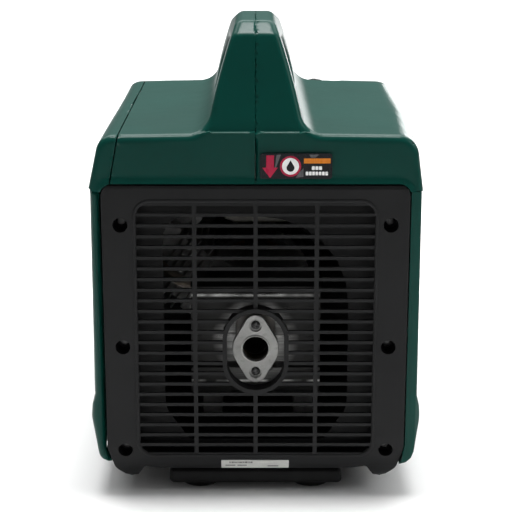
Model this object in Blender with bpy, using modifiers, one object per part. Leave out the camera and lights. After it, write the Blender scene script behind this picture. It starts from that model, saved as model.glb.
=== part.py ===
"""Portable inverter generator as an assembly of separate parts.

Units are metres, +Z is up.  The exhaust end faces -Y, the control end +Y, and the
origin is on the ground under the middle of the body.
"""

import math

import bmesh
import bpy
from mathutils import Matrix, Vector

# ---- driving dimensions -------------------------------------------------------------

GAP = 0.0003                 # clearance between pieces that touch
WALL = 0.0028                # moulded shell thickness

REAR_Y = -0.250              # outer plane of the rear panel and the hood's end
FRONT_Y = 0.250              # outer plane of the control end
CREST_Y = 0.085              # where the hood starts to fall towards the controls

HOOD_Z = 0.351               # top of the hood
HOOD_NOSE_Z = 0.318          # top of the hood at the control end
SKIRT_Z = 0.2993             # lower edge of the hood's skirt
SKIRT_X = 0.1534
SEAM_TOP_X = 0.1250          # service cover seam on the top
SEAM_LOW_X = 0.1335          # service cover seam at the panel's top edge

SIDE_LOW_Z = 0.0320          # lower edge of the side walls
SIDE_X = 0.1520
PANEL_X = 0.1415             # half width of the end panels
PANEL_TOP_Z = 0.3060
PANEL_DEPTH = 0.0265
CHIN_Z = 0.0605              # the end panels curve under below this height
CHIN_HEIGHT = 0.050          # half axes of the chin's elliptical curve
CHIN_DEPTH = 0.028

GRILLE_X = 0.110
GRILLE_LOW_Z = 0.0415
GRILLE_HIGH_Z = 0.2890
SLOT_PITCH = 0.01027
RIB = 0.0030
SLOT_ROWS = 24
FIRST_SLOT_Z = 0.0430
POST_XS = (-0.0565, 0.0, 0.0565)
POST_HALF = 0.0020
PANEL_SCREW_X = 0.1245
PANEL_SCREW_ZS = (0.046, 0.150, 0.268)

OUTLET_Z = 0.1460
OUTLET_HALF = (0.0270, 0.0380)
OUTLET_RIM = 0.0040
OUTLET_STAND = 0.0020        # how far the outlet rim stands out of the panel
FLANGE_FACE_Y = -0.2430
FLANGE_THICK = 0.0060
FLANGE_BORE = 0.01225
FLANGE_BOLT_Z = 0.0230       # bolt distance above and below the bore

TRAY_X = 0.0835
TRAY_REAR_Y = -0.2400
TRAY_LOW_Z = 0.0070
TRAY_TOP_Z = 0.0225
FOOT_RADIUS = 0.0210
FOOT_X = 0.0540
FOOT_YS = (-0.2120, 0.2120)

HANDLE_TOP_X = 0.0107
HANDLE_LOW_X = 0.0413
HANDLE_BASE_X = 0.0535
HANDLE_LOW_Z = 0.3710
HANDLE_TOP_Z = 0.4535

CRANK_Z = 0.1250             # crankshaft axis runs along Y at this height
CRANKCASE_Y = (-0.1100, 0.0050)
CYLINDER_Y = -0.0525
CYLINDER_TILT = math.radians(35.0)
SHAFT_RADIUS = 0.0110
ROPE_RADIUS = 0.0022
PULLEY_RADIUS = 0.0300       # radius at the middle of the rope
PULLEY_Y = 0.1120
ROPE_Z = CRANK_Z + PULLEY_RADIUS

TANK_LOW = (-0.0360, -0.1150, 0.2340)
TANK_HIGH = (0.1220, 0.1540, 0.3120)
CAP_X = 0.0670
CAP_Y = 0.1210
CAP_RADIUS = 0.0255
NECK_TOP_Z = 0.3280          # the cap sits half sunk in the hood
NECK_RADIUS = 0.0205
MOUTH_RADIUS = 0.0178
HEAT_PLATE = (0.0040, 0.3118, 0.0695, 0.3352)   # low x, low z, high x, high z

CONTROL_FACE_Y = 0.2380
CONTROL_X = 0.1180
CONTROL_Z = (0.0750, 0.2860)


# ---- materials and collections ------------------------------------------------------

def clear_scene():
    for old in list(bpy.data.objects):
        bpy.data.objects.remove(old, do_unlink=True)


def new_collection(name):
    collection = bpy.data.collections.new(name)
    bpy.context.scene.collection.children.link(collection)
    return collection


def material(name, colour, roughness, metallic=0.0):
    made = bpy.data.materials.new(name)
    made.use_nodes = True
    shader = made.node_tree.nodes["Principled BSDF"]
    shader.inputs["Base Color"].default_value = (*colour, 1.0)
    shader.inputs["Roughness"].default_value = roughness
    shader.inputs["Metallic"].default_value = metallic
    made.diffuse_color = (*colour, 1.0)
    return made


clear_scene()
PARTS = new_collection("inverter_generator")
CUTTERS = new_collection("cutters")

GREEN = material("green_plastic", (0.010, 0.062, 0.047), 0.42)
CHARCOAL = material("charcoal_plastic", (0.030, 0.031, 0.032), 0.55)
BLACK = material("black_plastic", (0.010, 0.010, 0.011), 0.60)
RUBBER = material("rubber", (0.012, 0.012, 0.012), 0.85)
CAST = material("cast_aluminium", (0.42, 0.42, 0.41), 0.50, 0.9)
SHEET = material("sheet_steel", (0.55, 0.55, 0.53), 0.32, 1.0)
STEEL = material("steel", (0.35, 0.35, 0.35), 0.35, 1.0)
COPPER = material("copper_winding", (0.60, 0.22, 0.08), 0.35, 1.0)
CERAMIC = material("ceramic", (0.80, 0.79, 0.75), 0.25)
RED = material("red_plastic", (0.45, 0.02, 0.02), 0.45)
ROPE = material("rope", (0.03, 0.03, 0.03), 0.90)
TANK = material("tank_plastic", (0.55, 0.53, 0.47), 0.50)
FOAM = material("hose_rubber", (0.02, 0.02, 0.02), 0.70)


# ---- shape helpers ------------------------------------------------------------------

def add_object(name, mesh, finish):
    """Link a mesh as a part, or as a cutter where it has no finish."""
    made = bpy.data.objects.new(name, mesh)
    if finish is None:
        CUTTERS.objects.link(made)
        made.hide_render = True
        made.display_type = "WIRE"
    else:
        PARTS.objects.link(made)
        mesh.materials.clear()
        mesh.materials.append(finish)
    return made


def mesh_from(bm, name):
    mesh = bpy.data.meshes.new(name)
    bmesh.ops.recalc_face_normals(bm, faces=bm.faces)
    bm.to_mesh(mesh)
    bm.free()
    return mesh


def box(name, low, high, finish=None):
    """Box between two corners."""
    low = Vector(low)
    high = Vector(high)
    bm = bmesh.new()
    place = Matrix.Translation((low + high) / 2) @ Matrix.Diagonal((*(high - low), 1.0))
    bmesh.ops.create_cube(bm, size=1.0, matrix=place)
    return add_object(name, mesh_from(bm, name), finish)


def rod(name, start, end, radius, finish=None, segments=24, end_radius=None):
    """Cylinder or cone from one point to another."""
    start = Vector(start)
    end = Vector(end)
    along = end - start
    turn = Vector((0, 0, 1)).rotation_difference(along).to_matrix().to_4x4()
    bm = bmesh.new()
    bmesh.ops.create_cone(
        bm, cap_ends=True, segments=segments, radius1=radius,
        radius2=radius if end_radius is None else end_radius, depth=along.length,
        matrix=Matrix.Translation((start + end) / 2) @ turn)
    return add_object(name, mesh_from(bm, name), finish)


def rounded(corners, steps=3):
    """Outline through corners (u, v, radius), each turned into an arc of its radius."""
    points = []
    for index, (u, v, radius) in enumerate(corners):
        corner = Vector((u, v))
        if radius <= 0:
            points.append(corner)
            continue
        back = (Vector(corners[index - 1][:2]) - corner).normalized()
        ahead = (Vector(corners[(index + 1) % len(corners)][:2]) - corner).normalized()
        half = back.angle(ahead) / 2
        centre = corner + (back + ahead).normalized() * (radius / math.sin(half))
        first = corner + back * (radius / math.tan(half)) - centre
        last = corner + ahead * (radius / math.tan(half)) - centre
        points += [centre + first.slerp(last,
                step / steps).normalized() * radius for step in range(steps + 1)]
    return points


def inset(points, distance):
    """Outline moved inwards by a distance (outwards where it is negative)."""
    area = sum(a.x * b.y - b.x * a.y for a, b in zip(points, points[1:] + points[:1]))
    side = 1 if area > 0 else -1
    moved = []
    for index, point in enumerate(points):
        before = (point - points[index - 1]).normalized()
        after = (points[(index + 1) % len(points)] - point).normalized()
        bisector = (before + after).normalized()
        inward = Vector((-bisector.y, bisector.x)) * side
        spread = max(0.3, inward.dot(Vector((-before.y, before.x)) * side))
        moved.append(point + inward * (distance / spread))
    return moved


def mirrored(half):
    """Whole outline from its right half, listed from bottom to top."""
    return half + [Vector((-p.x, p.y)) for p in reversed(half)]


FLAT_AXES = {
    "X": Matrix(((0, 0, 1, 0), (1, 0, 0, 0), (0, 1, 0, 0), (0, 0, 0, 1))),
    "Y": Matrix(((1, 0, 0, 0), (0, 0, -1, 0), (0, 1, 0, 0), (0, 0, 0, 1))),
    "Z": Matrix.Identity(4),
}
AXIS_VECTORS = {"X": Vector((1, 0, 0)), "Y": Vector((0, 1, 0)), "Z": Vector((0, 0, 1))}


def extrude(name, loops, axis, low, high, finish=None):
    """Flat outlines drawn out along an axis; outlines after the first are holes."""
    curve = bpy.data.curves.new(name, "CURVE")
    curve.dimensions = "2D"
    curve.fill_mode = "BOTH"
    curve.extrude = (high - low) / 2
    curve.render_resolution_u = 0
    for loop in loops:
        spline = curve.splines.new("POLY")
        spline.points.add(len(loop) - 1)
        for point, place in zip(spline.points, loop):
            point.co = (place.x, place.y, 0.0, 1.0)
        spline.use_cyclic_u = True
    place = Matrix.Translation(AXIS_VECTORS[axis] * (low + high) / 2) @ FLAT_AXES[axis]
    return solid_from_curve(name, curve, place, finish)


def solid_from_curve(name, curve, place, finish):
    """Closed mesh of a curve, with its caps welded on and its place worked in."""
    guide = bpy.data.objects.new(name, curve)
    CUTTERS.objects.link(guide)
    bpy.context.view_layer.update()
    shape = guide.evaluated_get(bpy.context.evaluated_depsgraph_get())
    mesh = bpy.data.meshes.new_from_object(shape)
    bpy.data.objects.remove(guide)
    bm = bmesh.new()
    bm.from_mesh(mesh)
    bpy.data.meshes.remove(mesh)
    bmesh.ops.transform(bm, matrix=place, verts=bm.verts)
    bmesh.ops.remove_doubles(bm, verts=bm.verts, dist=1e-6)
    return add_object(name, mesh_from(bm, name), finish)


def tube(name, points, radius, finish, resolution=2):
    """Round rod along a poly line."""
    curve = bpy.data.curves.new(name, "CURVE")
    curve.dimensions = "3D"
    curve.bevel_depth = radius
    curve.bevel_resolution = resolution
    curve.use_fill_caps = True
    curve.render_resolution_u = 0
    spline = curve.splines.new("POLY")
    spline.points.add(len(points) - 1)
    for point, place in zip(spline.points, points):
        point.co = (*place, 1.0)
    return solid_from_curve(name, curve, Matrix.Identity(4), finish)


def smooth_route(knots, steps=5):
    """Catmull-Rom points through a few knots."""
    ends = [knots[0] * 2 - knots[1], *knots, knots[-1] * 2 - knots[-2]]
    route = []
    for a, b, c, d in zip(ends, ends[1:], ends[2:], ends[3:]):
        for step in range(steps):
            t = step / steps
            route.append(0.5 * (2 * b + (c - a) * t + (2 * a - 5 * b + 4 * c - d) * t ** 2
                                + (3 * b - a - 3 * c + d) * t ** 3))
    return route + [knots[-1]]


def turned(name, profile, centre, direction, finish=None, segments=24):
    """Turned shape: profile of (radius, height) down the outer side, spun about an axis."""
    mesh = bpy.data.meshes.new(name)
    closed = profile[0][0] > 0 or profile[-1][0] > 0
    edges = [(i, i + 1) for i in range(len(profile) - 1)]
    if closed:
        edges.append((len(profile) - 1, 0))
    mesh.from_pydata([(radius, 0.0, height) for radius, height in profile], edges, [])
    made = add_object(name, mesh, finish)
    screw = made.modifiers.new("Screw", "SCREW")
    screw.steps = screw.render_steps = segments
    screw.use_merge_vertices = True
    screw.merge_threshold = 1e-5
    apply_modifiers(made)
    turn = Vector((0, 0, 1)).rotation_difference(Vector(direction)).to_matrix().to_4x4()
    bm = bmesh.new()
    bm.from_mesh(made.data)
    bmesh.ops.remove_doubles(bm, verts=bm.verts, dist=1e-6)
    bmesh.ops.transform(bm, matrix=Matrix.Translation(centre) @ turn, verts=bm.verts)
    bmesh.ops.recalc_face_normals(bm, faces=bm.faces)
    bm.to_mesh(made.data)
    bm.free()
    return made


def apply_modifiers(made):
    shape = made.evaluated_get(bpy.context.evaluated_depsgraph_get())
    mesh = bpy.data.meshes.new_from_object(shape)
    made.modifiers.clear()
    made.data = mesh


def boolean(target, tools, operation):
    for tool in tools:
        modifier = target.modifiers.new("Boolean", "BOOLEAN")
        modifier.operation = operation
        modifier.solver = "EXACT"
        modifier.object = tool
        apply_modifiers(target)
        bpy.data.objects.remove(tool)
    return target


def cut(target, *tools):
    return boolean(target, tools, "DIFFERENCE")


def join(target, *tools):
    return boolean(target, tools, "UNION")


def clip(target, *tools):
    return boolean(target, tools, "INTERSECT")


def soften(target, width, segments=2, angle=30.0):
    """Round every edge sharper than an angle."""
    bevel = target.modifiers.new("Bevel", "BEVEL")
    bevel.width = width
    bevel.segments = segments
    bevel.limit_method = "ANGLE"
    bevel.angle_limit = math.radians(angle)
    apply_modifiers(target)
    return target


def merge_slivers(made, distance=0.0001):
    """Join points that lie closer than any real feature of the piece."""
    bm = bmesh.new()
    bm.from_mesh(made.data)
    bmesh.ops.remove_doubles(bm, verts=bm.verts, dist=distance)
    bmesh.ops.dissolve_degenerate(bm, edges=bm.edges, dist=distance / 2)
    bm.to_mesh(made.data)
    bm.free()
    return made


def soft_box(name, low, high, radius, finish, segments=2):
    return soften(box(name, low, high, finish), radius, segments)


def seat_origin(made, point):
    """Put a moving piece's origin on its joint."""
    made.data.transform(Matrix.Translation(-Vector(point)))
    made.location = point


# ---- upper shell, service cover and side walls --------------------------------------

def skirt_section(offset=0.0):
    """Section of the hood across the body, from skirt to skirt over the top."""
    def half(waist_x, shoulder_x, radius):
        return rounded([
            (0.0, SKIRT_Z, 0), (SKIRT_X, SKIRT_Z, 0), (waist_x, 0.3257, 0),
            (shoulder_x, HOOD_Z - 0.0005, radius), (0.06, HOOD_Z + 0.0008, 0), (0.0, HOOD_Z + 0.001, 0)])[1:-1]

    right, left = half(0.1500, 0.1470, 0.018), half(0.1479, 0.1425, 0.015)
    whole = right + [Vector((-p.x, p.y)) for p in reversed(left)]
    return inset(whole, offset) if offset else whole


def hood_profile(offset=0.0):
    """Side outline of the hood: level top, then falling towards the controls."""
    points = rounded([
        (REAR_Y, 0.200, 0), (FRONT_Y, 0.200, 0), (FRONT_Y, HOOD_NOSE_Z, 0.010),
        (CREST_Y, HOOD_Z + 0.0012, 0.080), (REAR_Y, HOOD_Z + 0.0012, 0.0075)])
    return inset(points, offset) if offset else points


def hood_block(name, offset, low_z, finish=None):
    """Solid hood, shrunk all round by an offset."""
    section = skirt_section(offset)
    floor_z = min(p.y for p in section)
    section = [Vector((p.x, low_z if p.y < floor_z + 1e-4 else p.y)) for p in section]
    block = extrude(name, [section], "Y", REAR_Y, FRONT_Y, finish)
    return clip(block, extrude("profile", [hood_profile(offset)], "X", -0.2, 0.2))


def handle_outlines(offset=0.0):
    """Side outline of the handle and of its hand gap."""
    outer = rounded([
        (REAR_Y + 0.001, 0.335, 0), (CREST_Y + 0.030, 0.335, 0), (0.020, 0.4300, 0.060),
        (-0.150, HANDLE_TOP_Z, 0.250), (-0.2225, 0.4515, 0.014)], 5)
    gap = rounded([
        (-0.1960, 0.3720, 0.014), (-0.0200, 0.3720, 0.018), (-0.0560, 0.4140, 0.016),
        (-0.1840, 0.4250, 0.014)], 4)
    return [inset(outer, offset), inset(gap, -offset)] if offset else [outer, gap]


def handle_wedge(offset=0.0):
    """Section across the handle: narrow grip, wide foot with a hollow flare."""
    flare = [
        Vector((HANDLE_LOW_X + (HANDLE_BASE_X - HANDLE_LOW_X) * t ** 2.2,
                HANDLE_LOW_Z - (HANDLE_LOW_Z - HOOD_Z) * t)) for t in (1.0, 0.85, 0.6, 0.3, 0.0)]
    right = [Vector((HANDLE_BASE_X, 0.330)), *flare, Vector((0.0341, 0.4000)), Vector((0.0232, 0.4360)),
             Vector((HANDLE_TOP_X, 0.4700))]
    whole = mirrored(right)
    return inset(whole, offset) if offset else whole


def handle_block(name, offset, finish=None):
    block = extrude(name, handle_outlines(offset), "X", -0.08, 0.08, finish)
    return clip(block, extrude("wedge", [handle_wedge(offset)], "Y", -0.30, 0.16))


def seam_prism(name, shift, side_low_z):
    """Everything left of the service cover's seam, which leans with the skirt."""
    lean = (SEAM_LOW_X - SEAM_TOP_X) / (HOOD_Z - PANEL_TOP_Z)
    bottom_x = SEAM_TOP_X + lean * (HOOD_Z - side_low_z)
    outline = [
        Vector((-0.20, side_low_z)), Vector((-bottom_x + shift, side_low_z)),
        Vector((-SEAM_TOP_X + shift, HOOD_Z)), Vector((-SEAM_TOP_X + shift, 0.40)), Vector((-0.20, 0.40))]
    return extrude(name, [outline], "Y", -0.30, 0.30)


def end_panel_pocket(sign):
    """Room that the hood leaves for an end panel, with the panel's rounded top corners."""
    outline = rounded([
        (-PANEL_X - 0.0010, 0.20, 0), (PANEL_X + 0.0010, 0.20, 0),
        (PANEL_X + 0.0010, PANEL_TOP_Z + GAP * 2, 0.011),
        (-PANEL_X - 0.0010, PANEL_TOP_Z + GAP * 2, 0.011)])
    ends = sorted((sign * (PANEL_DEPTH + REAR_Y + GAP * 2) * -1, sign * 0.30))
    return extrude("pocket", [outline], "Y", *ends)


def build_upper_shell():
    """Two halves that meet on the centre line, each with half of the handle."""
    hood = hood_block("shell_right", 0.0, SKIRT_Z, GREEN)
    grip = merge_slivers(soften(handle_block("handle", 0.0, GREEN), 0.0050, 2, 40.0))
    join(hood, grip)
    cut(hood, hood_block("hollow", WALL, 0.25), handle_block("core", WALL * 1.3))
    cut(hood, end_panel_pocket(-1), end_panel_pocket(1))
    cut(hood, rod("filler_hole", (CAP_X, CAP_Y, 0.30), (CAP_X, CAP_Y, 0.38), CAP_RADIUS + 0.0045, None, 28))
    left = add_object("shell_left", hood.data.copy(), GREEN)
    cover = add_object("service_cover", hood.data.copy(), GREEN)
    clip(hood, box("half", (GAP / 2, -0.3, 0.2), (0.2, 0.3, 0.5)))
    clip(left, box("half", (-0.2, -0.3, 0.2), (-GAP / 2, 0.3, 0.5)))
    cut(left, seam_prism("seam", GAP, 0.20))
    clip(cover, seam_prism("seam", -GAP, 0.20))
    return hood, left, cover


def side_section():
    """Outer line of the right side wall, from its lower edge to the skirt."""
    low = rounded([
        (0.1370, SIDE_LOW_Z, 0), (0.1495, SIDE_LOW_Z, 0.014), (0.1566, 0.0780, 0.030),
        (0.1556, 0.0900, 0)], 3)
    return low + [Vector((0.1530, 0.1010)), Vector((SIDE_X, SKIRT_Z - GAP))]


def side_wall(name, finish, top_z):
    """Right side wall: a tall tray that wraps round onto both ends."""
    outer_line = side_section()[:-1] + [Vector((SIDE_X, top_z))]
    inboard = [(PANEL_X + 0.0012, top_z), (PANEL_X + 0.0012, 0.0500), (0.1400, 0.0370), (0.1385,
            SIDE_LOW_Z)]
    outer = [Vector(place) for place in inboard] + outer_line[1:]
    wall = extrude(name, [outer], "Y", REAR_Y + 0.0006, FRONT_Y - 0.0006, finish)
    corner = rounded([
        (0.10, REAR_Y + 0.0006, 0), (0.1575, REAR_Y + 0.0006, 0.011),
        (0.1575, FRONT_Y - 0.0006, 0.011), (0.10, FRONT_Y - 0.0006, 0)])
    clip(wall, extrude("corners", [corner], "Z", 0.0, 0.4))
    inner_line = [Vector((p.x - WALL, max(p.y, SIDE_LOW_Z + WALL))) for p in outer_line]
    inner = [Vector((0.10, top_z + 0.01)), Vector((0.10, SIDE_LOW_Z + WALL)), *inner_line[:-1],
             Vector((SIDE_X - WALL, top_z + 0.01))]
    hollow = extrude("hollow", [inner], "Y", REAR_Y + WALL * 1.6, FRONT_Y - WALL * 1.6)
    corner = rounded([
        (0.09, REAR_Y + WALL * 1.6, 0), (0.1575 - WALL, REAR_Y + WALL * 1.6, 0.008),
        (0.1575 - WALL, FRONT_Y - WALL * 1.6, 0.008), (0.09, FRONT_Y - WALL * 1.6, 0)])
    clip(hollow, extrude("corners", [corner], "Z", 0.0, 0.4))
    return cut(wall, hollow)


def mirror_x(made):
    bm = bmesh.new()
    bm.from_mesh(made.data)
    bmesh.ops.scale(bm, vec=(-1, 1, 1), verts=bm.verts)
    bmesh.ops.recalc_face_normals(bm, faces=bm.faces)
    bm.to_mesh(made.data)
    bm.free()
    return made


def build_side_walls(cover):
    right = side_wall("side_panel_right", GREEN, SKIRT_Z - GAP)
    left = mirror_x(side_wall("left_wall", GREEN, SKIRT_Z + 0.0010))
    join(cover, left)
    recess = soft_box("recess", (0.1390, PULLEY_Y - 0.034, ROPE_Z - 0.024),
                      (0.1800, PULLEY_Y + 0.034, ROPE_Z + 0.024), 0.004, None)
    tray = soft_box("recess_tray", (0.1365, PULLEY_Y - 0.0365, ROPE_Z - 0.0265),
                    (0.1510, PULLEY_Y + 0.0365, ROPE_Z + 0.0265), 0.004, GREEN)
    join(right, tray)
    cut(right, recess, rod("rope_hole", (0.13, PULLEY_Y, ROPE_Z), (0.16, PULLEY_Y, ROPE_Z), 0.0080))
    for row in range(8):
        low_z = 0.200 + row * 0.0100
        cut(right, box("louvre", (0.14, 0.080, low_z), (0.17, 0.200, low_z + 0.0048)))
    cut(cover, rod("knob_hole", (-0.17, 0.0, 0.240), (-0.13, 0.0, 0.240), 0.0060))
    return right


# ---- end panels ---------------------------------------------------------------------

def panel_outline():
    """Outline of an end panel, with corner lobes that reach down beside the tray."""
    right = rounded([
        (0.0, 0.0235, 0), (0.0880, 0.0240, 0), (0.1067, 0.0270, 0.003), (0.1150, 0.0125, 0.003),
        (0.1220, 0.0105, 0.004), (0.1350, 0.0250, 0.012), (0.1415, 0.0480, 0.020),
        (PANEL_X, PANEL_TOP_Z, 0.010), (0.0, PANEL_TOP_Z, 0)], 3)
    return mirrored(right[1:-1])


def panel_profile(offset=0.0):
    """Side outline of the rear panel: upright, then curving under at the chin."""
    arc = []
    for step in range(7):
        angle = math.radians(78.0) * step / 6
        arc.append(Vector((REAR_Y + CHIN_DEPTH * (1 - math.cos(angle)),
                           CHIN_Z - CHIN_HEIGHT * math.sin(angle))))
    back_y = REAR_Y + PANEL_DEPTH + 0.02
    points = [Vector((back_y, 0.0)), Vector((arc[-1].x, 0.0)), *reversed(arc),
              *rounded([(REAR_Y, 0.10, 0), (REAR_Y, PANEL_TOP_Z, 0.004), (back_y, PANEL_TOP_Z, 0)], 2)]
    return inset(points, offset) if offset else points


def dish(name, finish):
    """Shallow tray with its floor outwards: the body of an end panel."""
    shell = extrude(name, [panel_outline()], "Y", REAR_Y - 0.01, REAR_Y + PANEL_DEPTH, finish)
    clip(shell, extrude("profile", [panel_profile()], "X", -0.2, 0.2))
    core = extrude("core", [inset(panel_outline(), WALL)], "Y", REAR_Y - 0.01, REAR_Y + PANEL_DEPTH + 0.01)
    clip(core, extrude("profile", [panel_profile(WALL + 0.0004)], "X", -0.2, 0.2))
    return cut(shell, core)


def stadium(half_width, half_height, centre_z, steps=6):
    return rounded([
        (-half_width, centre_z - half_height, half_width * 0.98),
        (half_width, centre_z - half_height, half_width * 0.98),
        (half_width, centre_z + half_height, half_width * 0.98),
        (-half_width, centre_z + half_height, half_width * 0.98)], steps)


def slot_cutter(opening):
    """All grille slots: rows between the posts, trimmed by the opening's outline."""
    edges = [-GRILLE_X]
    for post in POST_XS:
        edges += [post - POST_HALF, post + POST_HALF]
    edges.append(GRILLE_X)
    bm = bmesh.new()
    for row in range(SLOT_ROWS):
        centre_z = FIRST_SLOT_Z + row * SLOT_PITCH + (SLOT_PITCH - RIB) / 2
        for left, right in zip(edges[::2], edges[1::2]):
            size = (right - left, 0.05, SLOT_PITCH - RIB)
            place = Matrix.Translation(((left + right) / 2, REAR_Y + 0.005, centre_z))
            bmesh.ops.create_cube(bm, size=1.0, matrix=place @ Matrix.Diagonal((*size, 1.0)))
    slots = add_object("slots", mesh_from(bm, "slots"), None)
    return clip(slots, opening)


def grille_outline(offset=0.0):
    return rounded([
        (-GRILLE_X + offset, GRILLE_LOW_Z + offset, 0.013), (GRILLE_X - offset, GRILLE_LOW_Z + offset,
                0.013),
        (GRILLE_X - offset, GRILLE_HIGH_Z - offset, 0.013), (-GRILLE_X + offset, GRILLE_HIGH_Z - offset,
                0.013)])


def screw_places():
    return [(side * PANEL_SCREW_X, z) for side in (-1, 1) for z in PANEL_SCREW_ZS]


def build_rear_panel():
    panel = dish("rear_panel", CHARCOAL)
    for x, z in screw_places():
        start_y = REAR_Y + (0.0034 if z < CHIN_Z else 0.0015)
        join(panel, rod("boss", (x, start_y, z), (x, REAR_Y + 0.0243, z), 0.0092, None, 12))
    cut(panel, slot_cutter(extrude("opening", [grille_outline()], "Y", REAR_Y - 0.02, REAR_Y + 0.03)))
    rim = stadium(OUTLET_HALF[0] + OUTLET_RIM, OUTLET_HALF[1] + OUTLET_RIM, OUTLET_Z)
    join(panel, extrude("rim", [rim], "Y", REAR_Y - OUTLET_STAND, REAR_Y + 0.0130))
    hole = stadium(*OUTLET_HALF, OUTLET_Z)
    cut(panel, extrude("outlet", [hole], "Y", REAR_Y - 0.02, REAR_Y + 0.04))
    for x, z in screw_places():
        cut(panel, rod("counterbore", (x, REAR_Y - 0.02, z), (x, REAR_Y + 0.0180, z), 0.0070, None, 16),
            rod("clearance", (x, REAR_Y, z), (x, REAR_Y + 0.04, z), 0.0024, None, 8))
    return panel


def build_panel_screws():
    for index, (x, z) in enumerate(screw_places(), start=1):
        profile = [(0.0, 0.0028), (0.0042, 0.0022), (0.0055, 0.0), (0.0020, 0.0), (0.0020, -0.0120),
                (0.0, -0.0130)]
        turned(f"rear_panel_screw_{index}", profile, (x, REAR_Y + 0.0180 - GAP, z), (0, -1, 0), STEEL, 10)


def build_rear_baffle():
    outline = rounded([
        (-0.1330, 0.0380, 0.012), (0.1330, 0.0380, 0.012), (0.1330, 0.3000, 0.012), (-0.1330, 0.3000,
                0.012)])
    opening = rounded([
        (-0.0870, 0.2700, 0.022), (-0.0870, 0.0800, 0.020), (-0.0640, 0.0470, 0.004), (0.0660, 0.0470,
                0.004),
        (0.0880, 0.0800, 0.020), (0.0880, 0.2700, 0.085)], 6)
    low = REAR_Y + PANEL_DEPTH + GAP
    baffle = extrude("rear_baffle", [outline, opening], "Y", low, low + 0.0020, CHARCOAL)
    for x, z in screw_places():
        cut(baffle, rod("screw_room", (x, low - 0.01, z), (x, low + 0.01, z), 0.0030, None, 8))


def build_front_panel():
    """Bezel of the control end, with the same outline as the rear panel."""
    panel = dish("front_panel", CHARCOAL)
    bm = bmesh.new()
    bm.from_mesh(panel.data)
    bmesh.ops.scale(bm, vec=(1, -1, 1), verts=bm.verts)
    bmesh.ops.recalc_face_normals(bm, faces=bm.faces)
    bm.to_mesh(panel.data)
    bm.free()
    window = rounded([
        (-CONTROL_X, CONTROL_Z[0], 0.010), (CONTROL_X, CONTROL_Z[0], 0.010),
        (CONTROL_X, CONTROL_Z[1], 0.010), (-CONTROL_X, CONTROL_Z[1], 0.010)])
    rim = inset(window, -WALL)
    join(panel, extrude("rim", [rim], "Y", CONTROL_FACE_Y - 0.0060, FRONT_Y - 0.0012))
    cut(panel, extrude("window", [window], "Y", 0.20, 0.28))
    return window


# ---- exhaust side -------------------------------------------------------------------

def flange_outline():
    """Rhombic flange with a round waist about the bore and round bolt ends."""
    points = []
    for centre_z, radius, start, end, steps in (
            (0.0, 0.0220, -28, 28, 5), (FLANGE_BOLT_Z, 0.0105, 28, 152, 7),
            (0.0, 0.0220, 152, 208, 5), (-FLANGE_BOLT_Z, 0.0105, 208, 332, 7)):
        for step in range(steps + 1):
            angle = math.radians(start + (end - start) * step / steps)
            points.append(Vector((radius * math.cos(angle),
                    OUTLET_Z + centre_z + radius * math.sin(angle))))
    return points


def build_exhaust_flange():
    back = FLANGE_FACE_Y + FLANGE_THICK
    flange = extrude("exhaust_flange", [flange_outline()], "Y", FLANGE_FACE_Y, back, CAST)
    soften(flange, 0.0008, 1, 60.0)
    cut(flange, rod("bore", (0, FLANGE_FACE_Y - 0.01, OUTLET_Z), (0, back + 0.01, OUTLET_Z), FLANGE_BORE,
            None, 28))
    for name, side in (("flange_screw_upper", 1), ("flange_screw_lower", -1)):
        z = OUTLET_Z + side * FLANGE_BOLT_Z
        cut(flange, rod("pocket", (0, FLANGE_FACE_Y - 0.01, z), (0, FLANGE_FACE_Y + 0.0028, z), 0.0060,
                None, 20),
            rod("hole", (0, FLANGE_FACE_Y, z), (0, back + 0.01, z), 0.0024, None, 12))
        profile = [(0.0, 0.0022), (0.0034, 0.0018), (0.0048, 0.0), (0.0020, 0.0), (0.0020, -0.0070),
                (0.0, -0.0080)]
        turned(name, profile, (0, FLANGE_FACE_Y + 0.0028 - GAP, z), (0, -1, 0), STEEL, 12)


def build_muffler():
    """Sealed box with an outlet pipe and bolt ears for the flange, and an inlet hole."""
    pad_y = FLANGE_FACE_Y + FLANGE_THICK + GAP
    muffler = soft_box("muffler", (-0.0560, -0.2050, 0.0980), (0.0560, -0.1350, 0.1950), 0.010, SHEET)
    pad = rod("pad", (0, pad_y, OUTLET_Z), (0, -0.2000, OUTLET_Z), 0.0165, None, 20)
    ears = [rod("ear", (0, pad_y, OUTLET_Z + side * FLANGE_BOLT_Z), (0, -0.2000,
            OUTLET_Z + side * FLANGE_BOLT_Z),
                0.0070, None, 16) for side in (-1, 1)]
    join(muffler, pad, *ears)
    cut(muffler, soft_box("inside", (-0.0545, -0.2035, 0.0995), (0.0545, -0.1365, 0.1935), 0.009, None))
    cut(muffler, rod("outlet", (0, -0.26, OUTLET_Z), (0, -0.19, OUTLET_Z), 0.0128, None, 20))
    for side in (-1, 1):
        z = OUTLET_Z + side * FLANGE_BOLT_Z
        cut(muffler, rod("thread", (0, -0.26, z), (0, pad_y + 0.0140, z), 0.0023, None, 12))
    cut(muffler, rod("inlet", (-0.0350, -0.15, 0.1600), (-0.0350, -0.12, 0.1600), 0.0085, None, 16))
    screen = [(0.0, 0.0010), (0.0105, 0.0010), (0.0105, 0.0270), (0.0115, 0.0270), (0.0115, 0.0), (0.0,
            0.0)]
    cup = turned("spark_arrestor", screen, (0, -0.1980, OUTLET_Z), (0, -1, 0), SHEET, 24)
    return cup


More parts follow.
